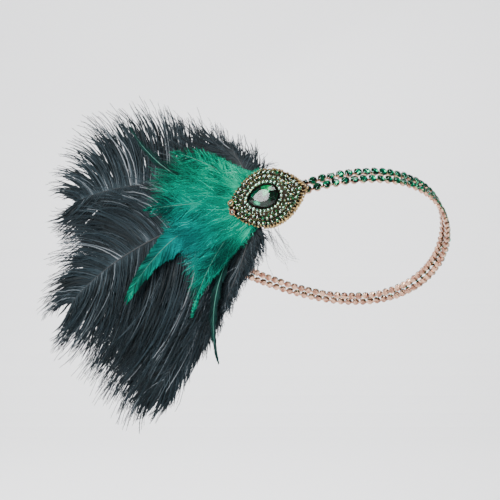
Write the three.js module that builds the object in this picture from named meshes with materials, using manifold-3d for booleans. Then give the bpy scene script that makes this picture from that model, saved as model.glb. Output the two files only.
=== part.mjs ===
// A flapper headband: two rows of green cup chain that close in a loop, a pointed brooch on the
// front left, and a fan of black plumes and green hackles that is bound behind it.
// Millimetres, +Z up, the front faces -Y. The origin is the middle of the loop.

import * as THREE from 'three';
import { mergeVertices } from 'three/addons/utils/BufferGeometryUtils.js';
import Module from 'manifold-3d';

const wasm = await Module();
wasm.setup();

const DEG = Math.PI / 180;

// Driving dimensions
const SEAT_GAP = 0.3;              // between a piece and what it is seated on

// The loop that the lower row follows: a tilted ellipse with a slow side wave
const LOOP = {
  halfWidth: 80,
  halfDepth: 88,
  tilt: 25.1 * DEG,                // the front rides high, the nape low
  sideWave: 8.2,
  lean: 32 * DEG,                  // the band leans in as it rises
};

// Cup chain
const CHAIN = {
  cupDiameter: 4.7,
  cupBaseShare: 0.86,              // base diameter as a share of the rim
  cupHeight: 2.4,
  cupSpacing: 0.97,                // between neighbouring cups of the lower row
  crownHeight: 0.9,
  tableDiameter: 2.5,
  linkHeight: 1.2,
  lowerStart: -12.7 * DEG,         // where the first stone of each row lies on the loop
  upperStart: -13.75 * DEG,
};
const CUP_SIDES = 10;

// Brooch
const BROOCH = {
  length: 48.4,
  height: 34.4,
  tipPoint: 1.8,                   // how pointed the end on the chain is
  heelPoint: 1.6,                  // how pointed the other end is
  onLoop: -28 * DEG,               // where on the loop its middle lies
  drop: 2.5,                       // its middle below the middle of the band
  turn: 22 * DEG,
  rise: 8 * DEG,
  roll: 13.9 * DEG,
  plateThickness: 1.2,
  rimHeight: 2.4,
  rimWidth: 1.5,
  beadSpacing: 3.1,
  beadBulge: 0.45,
  bossRadius: 5.5,                 // the boss stands in the circle where the quills start
};

// Large pear stone and its setting
const PEAR = {
  length: 18,
  width: 13,
  pointing: 0.45,                  // how quickly it narrows to its point
  pointRounding: 0.5,
  along: -1.6,                     // its middle from the brooch's middle
  up: 0.6,
  girdleHeight: 2.3,               // above the floor of its setting
  crownHeight: 2.1,
  tableShare: 0.56,
  settingWall: 0.8,
  settingHeight: 2.9,
};

// Small stones set in rings round the pear
const SMALL = {
  tinyDiameter: 1.7,
  tinySpacing: 0.75,
  ringWidth: 2.1,
  fieldDiameter: 2.15,
  fieldSpacing: 0.75,
  crownHeight: 0.75,
  tableShare: 0.6,
  outerStep: 1.3,                  // thickness of the setting under the outer row
  innerStep: 1.9,                  // and under the inner row
  ringStep: 2.3,                   // and under the tiny stones next to the pear
};

// Two ringed stones at the heel of the brooch
const RINGED = {
  diameter: 3.7,
  height: 1.5,
  crownHeight: 0.6,
  tableDiameter: 1.4,
  along: -21.6,
  spread: 5.4,                     // between their middles
  shift: -0.7,
};

// Feathers
const FAN = {
  rootThickness: 0.9,
  rootWidth: 2.2,
  rootCircle: 8,                   // the quills start on a circle round the binding
  bindingAlong: -6,
  bindingUp: -1,
  layerRise: 0.085,                // a layer lifts off the one behind it, mm for each mm out
  swell: 0.055,                    // a feather gets thicker, mm for each mm out
  bow: 0.001,                      // the fan bows back round the loop
};
// A feather is widest at its peak, a share of the way along, and narrows to tipShare of that
const PLUME = { quill: 140, barb: 50, thickness: 5, peak: 0.5, tipShare: 0.4 };
const HACKLE = { quill: 100, barb: 22, thickness: 3.4, peak: 0.6, tipShare: 0.45 };
const VALLEY = 0.74;               // reach of the notch between two locks, as a share
const LOCK_RIDGE = 0.9;            // thickness halfway to the edge, as a share of the quill's
const VALLEY_RIDGE = 0.5;
const LAYERS = 4;

// Lengths are shares of the quill and barb lengths above. rootAt and heading are degrees
// anticlockwise from the brooch's right, bend is the turn between lead and tail in degrees,
// left and right are barb reaches seen along the quill, spread and tipSpread the barb angles.
const FEATHERS = [
  { name: 'ostrich_plume_upper', kind: PLUME, colour: 'black', layer: 0, rootAt: 160, heading: 165,
    lead: 0.52, bend: 31, tail: 0.42, left: 0.8, right: 1.18, spread: 82, tipSpread: 26, locks: 9 },
  { name: 'ostrich_plume_lower', kind: PLUME, colour: 'black', layer: 0, rootAt: 236, heading: 246,
    lead: 0.54, bend: -16, tail: 0.34, left: 0.9, right: 1.04, spread: 50, tipSpread: 10, locks: 9 },
  { name: 'ostrich_plume_left', kind: PLUME, colour: 'black', layer: 1, rootAt: 198, heading: 193,
    lead: 0.55, bend: 31, tail: 0.42, left: 1.24, right: 0.56, spread: 66, tipSpread: 24, locks: 9 },
  { name: 'marabou_tuft_upper', kind: PLUME, colour: 'black', layer: 1, rootAt: 115, heading: 122,
    lead: 0.13, bend: 3, tail: 0.08, left: 0.76, right: 0.42, spread: 66, tipSpread: 20, locks: 5 },
  { name: 'marabou_tuft_lower', kind: PLUME, colour: 'black', layer: 1, rootAt: 246, heading: 262,
    lead: 0.28, bend: -23, tail: 0.22, left: 0.46, right: 0.4, spread: 44, tipSpread: 14, locks: 6 },
  { name: 'hackle_upper_spear', kind: HACKLE, colour: 'green', layer: 2, rootAt: 173, heading: 172,
    lead: 0.51, bend: -47, tail: 0.45, left: 0.34, right: 0.42, spread: 36, tipSpread: 5, locks: 7 },
  { name: 'hackle_long', kind: HACKLE, colour: 'green', layer: 2, rootAt: 202, heading: 189,
    lead: 0.47, bend: 54, tail: 0.54, left: 0.56, right: 0.5, spread: 44, tipSpread: 14, locks: 7 },
  { name: 'hackle_lower_spear', kind: HACKLE, colour: 'green', layer: 2, rootAt: 243, heading: 238,
    lead: 0.53, bend: 51, tail: 0.44, left: 0.34, right: 0.36, spread: 34, tipSpread: 5, locks: 7 },
  { name: 'hackle_upper', kind: HACKLE, colour: 'green', layer: 3, rootAt: 138, heading: 141,
    lead: 0.26, bend: 24, tail: 0.26, left: 0.5, right: 1.0, spread: 52, tipSpread: 22, locks: 6 },
  { name: 'hackle_left', kind: HACKLE, colour: 'green', layer: 3, rootAt: 182, heading: 181,
    lead: 0.3, bend: 9, tail: 0.32, left: 0.72, right: 0.56, spread: 48, tipSpread: 16, locks: 7 },
  { name: 'hackle_lower', kind: HACKLE, colour: 'green', layer: 3, rootAt: 230, heading: 226,
    lead: 0.32, bend: 36, tail: 0.4, left: 0.9, right: 0.62, spread: 46, tipSpread: 12, locks: 7 },
];

// Materials
const paint = (color, roughness, metalness) =>
  new THREE.MeshStandardMaterial({ color, roughness, metalness, flatShading: true });
const MATERIAL = {
  emerald: paint(0x0c5a3c, 0.12, 0.1),
  gold: paint(0xc9a06a, 0.3, 1),
  smoky: paint(0x33423a, 0.2, 0.2),
  mint: paint(0x9fc0ae, 0.2, 0.2),
  black: paint(0x23262d, 0.85, 0),
  green: paint(0x149672, 0.8, 0),
};

// A closed mesh from its corners and the triangles between them
function solid(corners, triangles) {
  const geometry = new THREE.BufferGeometry();
  geometry.setAttribute('position', new THREE.Float32BufferAttribute(corners.flatMap((c) => c.toArray()), 3));
  geometry.setIndex(triangles.flat());
  return geometry;
}

function toManifold(geometry) {
  const bare = geometry.clone();
  bare.deleteAttribute('normal');
  bare.deleteAttribute('uv');
  const merged = mergeVertices(bare, 1e-4);
  return new wasm.Manifold(new wasm.Mesh({
    numProp: 3,
    vertProperties: new Float32Array(merged.attributes.position.array),
    triVerts: new Uint32Array(merged.index.array),
  }));
}

function fromManifold(body) {
  const mesh = body.getMesh();
  const geometry = new THREE.BufferGeometry();
  geometry.setAttribute('position', new THREE.BufferAttribute(new Float32Array(mesh.vertProperties), 3));
  geometry.setIndex(new THREE.BufferAttribute(new Uint32Array(mesh.triVerts), 1));
  return geometry;
}

function named(name, geometry, material) {
  const mesh = new THREE.Mesh(geometry, material);
  mesh.name = name;
  return mesh;
}

// The flat cap of a ring of corners, seen from the side where they run anticlockwise
function fan(ring) {
  return ring.slice(1, -1).map((corner, k) => [ring[0], corner, ring[k + 2]]);
}

// Two triangles for the wall between corner k and k + 1 of two stacked rings
function wall(low, high, k) {
  const next = (k + 1) % low.length;
  return [[low[k], low[next], high[next]], [low[k], high[next], high[k]]];
}

// The loop
function loopPoint(angle) {
  const up = new THREE.Vector3(0, Math.sin(LOOP.tilt), Math.cos(LOOP.tilt));
  const back = new THREE.Vector3(0, Math.cos(LOOP.tilt), -Math.sin(LOOP.tilt));
  return new THREE.Vector3(LOOP.halfWidth * Math.sin(angle), 0, 0)
    .addScaledVector(back, -LOOP.halfDepth * Math.cos(angle))
    .addScaledVector(up, LOOP.sideWave * Math.sin(2 * angle));
}

// Along the band, across it and out of it, at one place on the loop
function bandAxes(angle) {
  const step = 1e-4;
  const along = loopPoint(angle + step).sub(loopPoint(angle - step)).normalize();
  const upright = new THREE.Vector3(0, 0, 1).addScaledVector(along, -along.z).normalize();
  const outward = new THREE.Vector3().crossVectors(along, upright);
  const across = upright.clone().multiplyScalar(Math.cos(LOOP.lean))
    .addScaledVector(outward, -Math.sin(LOOP.lean));
  return { along, across, out: new THREE.Vector3().crossVectors(along, across) };
}

const ROW_SEPARATION = CHAIN.cupDiameter + SEAT_GAP;

// One row's closed line through the tables of its stones
class RowLine extends THREE.Curve {
  constructor(start, offset) {
    super();
    this.start = start;
    this.offset = offset;
    this.arcLengthDivisions = 1440;
  }

  angleAt(t) {
    return this.start + 2 * Math.PI * t;
  }

  getPoint(t) {
    const angle = this.angleAt(t);
    return loopPoint(angle).addScaledVector(bandAxes(angle).across, this.offset);
  }
}

// A row of cups with their stones, joined by low links, closed on itself
function chainRow(line, count) {
  const rim = CHAIN.cupDiameter / 2;
  const rings = [
    { radius: rim * CHAIN.cupBaseShare, height: -CHAIN.crownHeight - CHAIN.cupHeight, sides: CUP_SIDES },
    { radius: rim, height: -CHAIN.crownHeight, sides: CUP_SIDES },
    { radius: CHAIN.tableDiameter / 2, height: 0, sides: CUP_SIDES / 2 },
  ];
  const corners = [];
  const triangles = [];
  const cups = [];
  for (let i = 0; i < count; i += 1) {
    const share = line.getUtoTmapping(i / count);
    const middle = line.getPoint(share);
    const along = line.getTangent(share);
    const { across: lean } = bandAxes(line.angleAt(share));
    const out = new THREE.Vector3().crossVectors(along, lean).normalize();
    const across = new THREE.Vector3().crossVectors(out, along);
    const place = (x, y, z) => middle.clone().addScaledVector(along, x)
      .addScaledVector(across, y).addScaledVector(out, z);
    const add = (point) => corners.push(point) - 1;
    // The rim and base have a flat side towards each neighbour, the table a corner over it
    const [base, edge, table] = rings.map(({ radius, height, sides }) =>
      Array.from({ length: sides }, (_, k) => {
        const turn = 2 * Math.PI * (sides === CUP_SIDES ? k - 0.5 : k) / sides;
        const stretch = sides === CUP_SIDES ? 1 / Math.cos(Math.PI / sides) : 1;
        return add(place(radius * stretch * Math.cos(turn), radius * stretch * Math.sin(turn), height));
      }));
    const linkShare = CHAIN.linkHeight / CHAIN.cupHeight;
    const linkTop = (k) => {
      const [low, high] = [base, edge].map((ring) =>
        corners[ring[k]].clone().add(corners[ring[k + 1]]).multiplyScalar(0.5));
      return add(low.lerp(high, linkShare));
    };
    cups.push({ base, edge, table, ahead: linkTop(0), behind: linkTop(CUP_SIDES / 2) });
  }
  cups.forEach((cup, i) => {
    const { base, edge, table } = cup;
    const next = cups[(i + 1) % cups.length];
    triangles.push(...fan([...base].reverse()), ...fan(table));
    for (let k = 0; k < CUP_SIDES; k += 1) {
      const linked = { 0: cup.ahead, [CUP_SIDES / 2]: cup.behind }[k];
      if (linked === undefined) {
        triangles.push(...wall(base, edge, k));
      } else {
        triangles.push([base[k + 1], edge[k + 1], linked], [edge[k + 1], edge[k], linked],
          [edge[k], base[k], linked]);
      }
    }
    table.forEach((corner, k) => {
      const after = table[(k + 1) % table.length];
      const [a, b, c] = [2 * k, 2 * k + 1, (2 * k + 2) % CUP_SIDES].map((j) => edge[j]);
      triangles.push([a, b, corner], [b, c, after], [b, after, corner]);
    });
    const half = CUP_SIDES / 2;
    const here = [base[0], base[1], cup.ahead];
    const there = [next.base[half + 1], next.base[half], next.behind];
    triangles.push([here[0], here[1], there[1]], [here[0], there[1], there[0]],
      [here[1], here[2], there[2]], [here[1], there[2], there[1]],
      [here[2], here[0], there[0]], [here[2], there[0], there[2]]);
  });
  return solid(corners, triangles);
}

const lowerLine = new RowLine(CHAIN.lowerStart, 0);
const upperLine = new RowLine(CHAIN.upperStart, ROW_SEPARATION);
// The rows are sewn stone to stone, so both have the same number of stones
const stonesPerRow = Math.round(lowerLine.getLength() / (CHAIN.cupDiameter + CHAIN.cupSpacing));
const lowerRow = chainRow(lowerLine, stonesPerRow);
const upperRow = chainRow(upperLine, stonesPerRow);

// The brooch's and the fan's common frame: x to the right, y up, z out of the front
const frontOut = new THREE.Vector3(
  -Math.sin(BROOCH.turn) * Math.cos(BROOCH.rise),
  -Math.cos(BROOCH.turn) * Math.cos(BROOCH.rise),
  Math.sin(BROOCH.rise),
);
const frontRight = new THREE.Vector3(Math.cos(BROOCH.turn), -Math.sin(BROOCH.turn), 0);
const frontUp = new THREE.Vector3().crossVectors(frontOut, frontRight);
const bandMiddle = loopPoint(BROOCH.onLoop)
  .addScaledVector(bandAxes(BROOCH.onLoop).across, ROW_SEPARATION / 2)
  .addScaledVector(frontUp, -BROOCH.drop);

// How far the chain stands out behind a round spot of the brooch, measured from bandMiddle
function chainReach(spot, radius) {
  const point = new THREE.Vector3();
  let reach = -Infinity;
  for (const row of [lowerRow, upperRow]) {
    const position = row.attributes.position;
    for (let i = 0; i < position.count; i += 1) {
      point.fromBufferAttribute(position, i).sub(bandMiddle);
      const sideways = Math.hypot(point.dot(frontRight) - spot.x, point.dot(frontUp) - spot.y);
      if (sideways < radius) reach = Math.max(reach, point.dot(frontOut));
    }
  }
  return reach;
}

const broochReach = chainReach(new THREE.Vector2(), BROOCH.length) + SEAT_GAP;
const fanFrame = new THREE.Matrix4().makeBasis(frontRight, frontUp, frontOut);
fanFrame.setPosition(bandMiddle.clone().addScaledVector(frontOut, broochReach));
const BINDING = new THREE.Vector2(FAN.bindingAlong, FAN.bindingUp);
const LAYER_PITCH = FAN.rootThickness + SEAT_GAP;
const PLATE_BACK = LAYERS * LAYER_PITCH;

// Outlines. Each gives its point at an angle, 0 at the pointed end that lies on the chain.
// An inset moves the ends of the brooch's outline further than its long sides.
const END_STRETCH = 1.5;

function broochOutline(angle, inset = 0) {
  const towardsTip = (1 + Math.cos(angle)) / 2;
  const point = BROOCH.heelPoint + (BROOCH.tipPoint - BROOCH.heelPoint) * towardsTip;
  const sine = Math.sin(angle);
  return new THREE.Vector2(
    (BROOCH.length / 2 - inset * END_STRETCH) * Math.cos(angle),
    (BROOCH.height / 2 - inset) * sine * Math.abs(sine) ** (point - 1),
  );
}

const pearFullness = Math.max(...Array.from({ length: 90 }, (_, k) =>
  Math.sin(k * 2 * DEG) * Math.cos(k * DEG) ** PEAR.pointing));

function pearOutline(angle, growth = 0) {
  const narrowing = Math.abs(Math.cos(angle / 2)) ** PEAR.pointing;
  const point = new THREE.Vector2(
    (PEAR.length / 2 + growth) * Math.cos(angle),
    (PEAR.width / 2 + growth) * Math.sin(angle) * narrowing / pearFullness,
  );
  // A grown outline is rounder at the pear's point
  point.y += PEAR.pointRounding * growth * Math.sin(angle) * (1 - narrowing);
  return point.add(new THREE.Vector2(PEAR.along, PEAR.up));
}

// A closed line that lies a share of the way from the pear's setting to the brooch's rim
class RingLine extends THREE.Curve {
  constructor(share) {
    super();
    this.share = share;
    this.arcLengthDivisions = 400;
  }

  getPoint(t) {
    const angle = 2 * Math.PI * t;
    const inner = pearOutline(angle, PEAR.settingWall + 2 * SEAT_GAP);
    const outer = broochOutline(angle, BROOCH.rimWidth + SEAT_GAP);
    return inner.lerp(outer, this.share);
  }
}

// A closed ring swept round the brooch: a profile of [line, height] corners at each station
function sweptRing(stations, profileAt) {
  const corners = [];
  const triangles = [];
  const rows = Array.from({ length: stations }, (_, k) => profileAt(k / stations, k)
    .map(([point, height]) => corners.push(new THREE.Vector3(point.x, point.y, height)) - 1));
  rows.forEach((row, k) => {
    const next = rows[(k + 1) % stations];
    row.forEach((corner, j) => {
      const after = (j + 1) % row.length;
      triangles.push([corner, next[j], next[after]], [corner, next[after], row[after]]);
    });
  });
  return solid(corners, triangles);
}

// Where the settings stand, above the back of the plate
const FLOOR = BROOCH.plateThickness + SEAT_GAP;
// Width between the pear's setting and the rim on the brooch's short side, and what shares of
// it the ring and the field of small stones take
const ZONE = BROOCH.height / 2 - BROOCH.rimWidth - PEAR.width / 2 - PEAR.settingWall - 3 * SEAT_GAP;
const ringEnd = SMALL.ringWidth / ZONE;
const fieldStart = ringEnd + SEAT_GAP / ZONE;
const fieldMiddle = (fieldStart + 1) / 2;

// Brooch plate: a backing with a beaded rim, and a boss behind it that the chain is bound to
class BroochEdge extends THREE.Curve {
  getPoint(t) {
    return broochOutline(2 * Math.PI * t);
  }
}

function broochPlate() {
  const outline = new BroochEdge();
  outline.arcLengthDivisions = 400;
  const stations = 2 * Math.round(outline.getLength() / BROOCH.beadSpacing);
  const corners = [];
  const rings = [[], [], [], []];
  for (let k = 0; k < stations; k += 1) {
    const angle = 2 * Math.PI * outline.getUtoTmapping(k / stations);
    const bead = k % 2 ? BROOCH.beadBulge : 0;
    const line = (inset, height) => {
      const point = broochOutline(angle, inset);
      return corners.push(new THREE.Vector3(point.x, point.y, height)) - 1;
    };
    rings[0].push(line(BROOCH.rimWidth / 2, 0));
    rings[1].push(line(BROOCH.beadBulge - bead, BROOCH.rimHeight / 2));
    rings[2].push(line(BROOCH.rimWidth / 2, BROOCH.rimHeight - BROOCH.beadBulge + bead));
    rings[3].push(line(BROOCH.rimWidth, BROOCH.plateThickness));
  }
  const triangles = [...fan([...rings[0]].reverse())];
  for (let level = 0; level < 3; level += 1) {
    rings[0].forEach((_, k) => triangles.push(...wall(rings[level], rings[level + 1], k)));
  }
  triangles.push(...bridgeAcross(rings[3]));
  const middle = BINDING.clone().rotateAround(new THREE.Vector2(), -BROOCH.roll);
  const depth = PLATE_BACK + broochReach - chainReach(BINDING, BROOCH.bossRadius) - SEAT_GAP;
  const boss = new THREE.CylinderGeometry(BROOCH.bossRadius, BROOCH.bossRadius,
    depth + BROOCH.plateThickness, CUP_SIDES);
  boss.rotateX(Math.PI / 2).translate(middle.x, middle.y, (BROOCH.plateThickness - depth) / 2);
  return fromManifold(toManifold(solid(corners, triangles)).add(toManifold(boss)));
}

// A cap for a ring that is the same above and below its long axis, in narrow strips
function bridgeAcross(ring) {
  const half = ring.length / 2;
  const triangles = [];
  for (let k = 0; k < half; k += 1) {
    const [a, b] = [ring[k], ring[k + 1]];
    const [c, d] = [ring[ring.length - k - 1], ring[(ring.length - k) % ring.length]];
    if (k > 0) triangles.push([d, a, b]);
    if (k < half - 1) triangles.push([d, b, c]);
  }
  return triangles;
}

// A small stone on a square base, with eight facets and a table
function smallStone(middle, diameter, turn, seat) {
  const corners = [];
  const ring = (radius, height, offset) => Array.from({ length: 4 }, (_, k) => {
    const angle = turn + offset + k * Math.PI / 2;
    return corners.push(new THREE.Vector3(middle.x + radius * Math.cos(angle),
      middle.y + radius * Math.sin(angle), height)) - 1;
  });
  const base = ring(diameter / 2, seat, 0);
  const table = ring(SMALL.tableShare * diameter / 2, seat + SMALL.crownHeight, Math.PI / 4);
  const triangles = [...fan([...base].reverse()), ...fan(table)];
  base.forEach((corner, k) => {
    const after = (k + 1) % 4;
    triangles.push([corner, base[after], table[k]], [table[k], base[after], table[after]]);
  });
  return toManifold(solid(corners, triangles));
}

// A ring of setting metal. Each step goes out to a share of the way at its own height
const SETTING_STATIONS = 26;
function settingRing(start, steps) {
  const inner = new RingLine(start);
  const lines = steps.map(({ to, seat }) => ({ line: new RingLine(to), seat }));
  return toManifold(sweptRing(SETTING_STATIONS, (t) => {
    const outer = lines[lines.length - 1].line.getPoint(t);
    const tops = lines.flatMap(({ line, seat }, k) => {
      const start = k ? lines[k - 1].line : inner;
      return [[start.getPoint(t), seat], [line.getPoint(t), seat]];
    });
    return [[inner.getPoint(t), FLOOR], [outer, FLOOR], ...tops.reverse()];
  }));
}

const RINGED_PLACES = [1, -1].map((hand) =>
  new THREE.Vector2(RINGED.along, RINGED.shift + hand * RINGED.spread / 2));

// Small stones along a ring, apart from where the ringed stones stand
function stonesAlong(share, diameter, spacing, seat) {
  const line = new RingLine(share);
  const count = Math.round(line.getLength() / (diameter + spacing));
  const clearance = (RINGED.diameter + diameter) / 2 + SEAT_GAP;
  return line.getSpacedPoints(count).slice(0, count).flatMap((middle, k) => {
    if (RINGED_PLACES.some((place) => place.distanceTo(middle) < clearance)) return [];
    const tangent = line.getTangentAt(k / count);
    return [smallStone(middle, diameter, Math.atan2(tangent.y, tangent.x), seat)];
  });
}

function innerStoneRing() {
  const seat = FLOOR + SMALL.ringStep;
  const setting = settingRing(0, [{ to: ringEnd, seat }]);
  const stones = stonesAlong(ringEnd / 2, SMALL.tinyDiameter, SMALL.tinySpacing, seat);
  return fromManifold(stones.reduce((body, stone) => body.add(stone), setting));
}

function stoneField() {
  const rows = [
    { from: fieldStart, to: fieldMiddle, seat: FLOOR + SMALL.innerStep },
    { from: fieldMiddle, to: 1, seat: FLOOR + SMALL.outerStep },
  ];
  let body = settingRing(fieldStart, rows);
  for (const { from, to, seat } of rows) {
    for (const stone of stonesAlong((from + to) / 2, SMALL.fieldDiameter, SMALL.fieldSpacing, seat)) {
      body = body.add(stone);
    }
  }
  for (const place of RINGED_PLACES) {
    const room = new THREE.CylinderGeometry(1, 1, BROOCH.height, CUP_SIDES);
    room.scale(RINGED.diameter / 2 + SEAT_GAP, 1, RINGED.diameter / 2 + SEAT_GAP);
    room.rotateX(Math.PI / 2).translate(place.x, place.y, 0);
    body = body.subtract(toManifold(room));
  }
  return fromManifold(body);
}

// The pear's setting: a plain wall round its girdle
const PEAR_STATIONS = 24;
function pearSetting() {
  const line = (growth, t) => pearOutline(2 * Math.PI * t, growth);
  return sweptRing(PEAR_STATIONS, (t) => [
    [line(SEAT_GAP, t), FLOOR], [line(SEAT_GAP + PEAR.settingWall, t), FLOOR],
    [line(SEAT_GAP + PEAR.settingWall, t), FLOOR + PEAR.settingHeight - SEAT_GAP],
    [line(SEAT_GAP, t), FLOOR + PEAR.settingHeight],
  ]);
}

// The pear: a table, a crown of broad facets, a thin girdle and a pavilion that ends in a point
const PEAR_SIDES = 16;
function pearCrystal() {
  const corners = [];
  const girdleBottom = FLOOR + PEAR.girdleHeight;
  const girdleTop = girdleBottom + SEAT_GAP;
  const middle = new THREE.Vector2(PEAR.along, PEAR.up);
  const ring = (sides, scale, height) => Array.from({ length: sides }, (_, k) => {
    const place = pearOutline(2 * Math.PI * k / sides).sub(middle).multiplyScalar(scale).add(middle);
    return corners.push(new THREE.Vector3(place.x, place.y, height)) - 1;
  });
  const low = ring(PEAR_SIDES, 1, girdleBottom);
  const high = ring(PEAR_SIDES, 1, girdleTop);
  const table = ring(PEAR_SIDES / 2, PEAR.tableShare, girdleTop + PEAR.crownHeight);
  const point = corners.push(new THREE.Vector3(middle.x, middle.y, FLOOR)) - 1;
  const triangles = [...fan(table)];
  low.forEach((corner, k) => {
    triangles.push([corner, point, low[(k + 1) % PEAR_SIDES]], ...wall(low, high, k));
  });
  table.forEach((corner, k) => {
    const [a, b, c] = [2 * k, 2 * k + 1, (2 * k + 2) % PEAR_SIDES].map((j) => high[j]);
    const after = table[(k + 1) % table.length];
    triangles.push([a, b, corner], [b, c, after], [b, after, corner]);
  });
  return solid(corners, triangles);
}

// A round stone in a plain ring, seated on the brooch's rim
function ringedStone(place) {
  const seat = BROOCH.rimHeight + SEAT_GAP;
  const profile = [[0, seat], [RINGED.diameter / 2, seat], [RINGED.diameter / 2, seat + RINGED.height],
    [RINGED.tableDiameter / 2, seat + RINGED.height + RINGED.crownHeight],
    [0, seat + RINGED.height + RINGED.crownHeight]];
  const body = new THREE.LatheGeometry(profile.map(([x, y]) => new THREE.Vector2(x, y)), CUP_SIDES);
  body.rotateX(Math.PI / 2);
  body.translate(place.x, place.y, 0);
  return fromManifold(toManifold(body));
}

// A feather is a closed blade, thick at its quill and sharp at its edge. Its edge runs through
// the tips of the locks and the notches between them, and it lies in its own layer of the fan.
function fanPoint(along, up, layer, lift) {
  const out = Math.max(0, Math.hypot(along, up) - BROOCH.length / 2);
  const slot = (layer + 0.5) * LAYER_PITCH - SEAT_GAP / 2;
  return new THREE.Vector3(along, up, slot + FAN.layerRise * layer * out - FAN.bow * out * out + lift);
}

function bladeThickness(along, up, kind) {
  const out = Math.max(0, Math.hypot(along, up) - BROOCH.length / 2);
  return Math.min(kind.thickness, FAN.rootThickness + FAN.swell * out);
}

function fullness(share, { peak, tipShare }) {
  if (share < peak) return Math.sin(Math.PI / 2 * (0.1 + 0.9 * share / peak)) ** 1.2;
  return 1 - (1 - tipShare) * ((share - peak) / (1 - peak)) ** 2;
}

function feather(row) {
  const unit = (degrees) => new THREE.Vector2(Math.cos(degrees * DEG), Math.sin(degrees * DEG));
  const root = BINDING.clone().addScaledVector(unit(row.rootAt), FAN.rootCircle);
  const knee = root.clone().addScaledVector(unit(row.heading), row.lead * row.kind.quill);
  const tip = knee.clone().addScaledVector(unit(row.heading + row.bend), row.tail * row.kind.quill);
  const quill = new THREE.QuadraticBezierCurve(root, knee, tip);
  const stations = 2 * row.locks + 1;
  const corners = [];
  const place = (point, side, height) => {
    const half = bladeThickness(point.x, point.y, row.kind) / 2;
    return corners.push(fanPoint(point.x, point.y, row.layer, side * half * height)) - 1;
  };
  const sections = Array.from({ length: stations }, (_, k) => {
    const share = k / (stations - 1);
    const lock = k % 2 === 1;
    const middle = quill.getPoint(share);
    const heading = Math.atan2(quill.getTangent(share).y, quill.getTangent(share).x) / DEG;
    const spread = row.spread + (row.tipSpread - row.spread) * share ** 2;
    const edge = (hand, reach) => {
      const full = reach * row.kind.barb * fullness(share, row.kind) * (lock ? 1 : VALLEY);
      const length = Math.max(FAN.rootWidth / 2, full);
      return middle.clone().addScaledVector(unit(heading + hand * spread), length);
    };
    const [left, right] = [edge(1, row.left), edge(-1, row.right)];
    const [midLeft, midRight] = [left, right].map((point) => middle.clone().lerp(point, 0.5));
    const ridge = lock ? LOCK_RIDGE : VALLEY_RIDGE;
    return [
      place(left, 0, 0), place(midLeft, 1, ridge), place(middle, 1, 1), place(midRight, 1, ridge),
      place(right, 0, 0), place(midRight, -1, ridge), place(middle, -1, 1), place(midLeft, -1, ridge),
    ];
  });
  const triangles = [...fan([...sections[0]].reverse()), ...fan(sections[stations - 1])];
  for (let k = 0; k + 1 < stations; k += 1) {
    sections[k].forEach((_, j) => triangles.push(...wall(sections[k], sections[k + 1], j)));
  }
  return solid(corners, triangles);
}

// Assembly
const headband = new THREE.Group();
headband.add(
  named('lower_crystal_row', lowerRow, MATERIAL.emerald),
  named('upper_crystal_row', upperRow, MATERIAL.emerald),
);

const fanGroup = new THREE.Group();
fanGroup.applyMatrix4(fanFrame);
FEATHERS.forEach((row) => fanGroup.add(named(row.name, feather(row), MATERIAL[row.colour])));

const brooch = new THREE.Group();
brooch.position.z = PLATE_BACK;
brooch.rotation.z = BROOCH.roll;
brooch.add(
  named('brooch_plate', broochPlate(), MATERIAL.gold),
  named('stone_field', stoneField(), MATERIAL.smoky),
  named('inner_stone_ring', innerStoneRing(), MATERIAL.mint),
  named('pear_setting', pearSetting(), MATERIAL.gold),
  named('pear_crystal', pearCrystal(), MATERIAL.emerald),
  named('ringed_stone_upper', ringedStone(RINGED_PLACES[0]), MATERIAL.smoky),
  named('ringed_stone_lower', ringedStone(RINGED_PLACES[1]), MATERIAL.smoky),
);
fanGroup.add(brooch);
headband.add(fanGroup);

export default headband;
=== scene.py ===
# %% [markdown]
# # A feathered headband
# Two rows of green cup chain close in a loop. A pointed brooch full of small stones sits on the
# front left, and a fan of black plumes and green hackles is bound behind it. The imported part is
# loaded first: it is the frame that every finer piece below is built on, in metres.

# %% Load the part
import math

import bmesh
import bpy
import numpy as np
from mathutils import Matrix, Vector


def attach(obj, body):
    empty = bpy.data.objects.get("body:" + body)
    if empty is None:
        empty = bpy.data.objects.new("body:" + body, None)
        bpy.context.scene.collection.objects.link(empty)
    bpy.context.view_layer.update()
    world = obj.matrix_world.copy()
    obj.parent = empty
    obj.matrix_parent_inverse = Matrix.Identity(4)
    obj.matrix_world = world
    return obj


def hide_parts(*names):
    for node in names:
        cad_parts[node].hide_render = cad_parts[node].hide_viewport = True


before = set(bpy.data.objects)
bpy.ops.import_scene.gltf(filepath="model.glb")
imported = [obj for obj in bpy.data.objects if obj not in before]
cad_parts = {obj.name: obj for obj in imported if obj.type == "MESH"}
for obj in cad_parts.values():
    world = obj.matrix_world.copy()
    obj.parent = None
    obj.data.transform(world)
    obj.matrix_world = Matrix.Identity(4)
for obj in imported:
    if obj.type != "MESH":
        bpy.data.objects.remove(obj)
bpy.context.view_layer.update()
MM = 0.001
print("nodes:", len(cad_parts))

# %% [markdown]
# ## Sizes that the pieces share
# The loop is a tilted ellipse with a slow side wave. These are the part's own sizes in
# millimetres, so that stones, claws and barbs land exactly on its solids.

# %% The loop and the band that lies on it
SEAT_GAP = 0.3
LOOP = {"half_width": 80.0, "half_depth": 88.0, "tilt": math.radians(25.1), "side_wave": 8.2,
        "lean": math.radians(32)}
STEP = 1e-4


def unit(vector):
    vector = np.asarray(vector, float)
    return vector / np.linalg.norm(vector, axis=-1, keepdims=True)


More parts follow.
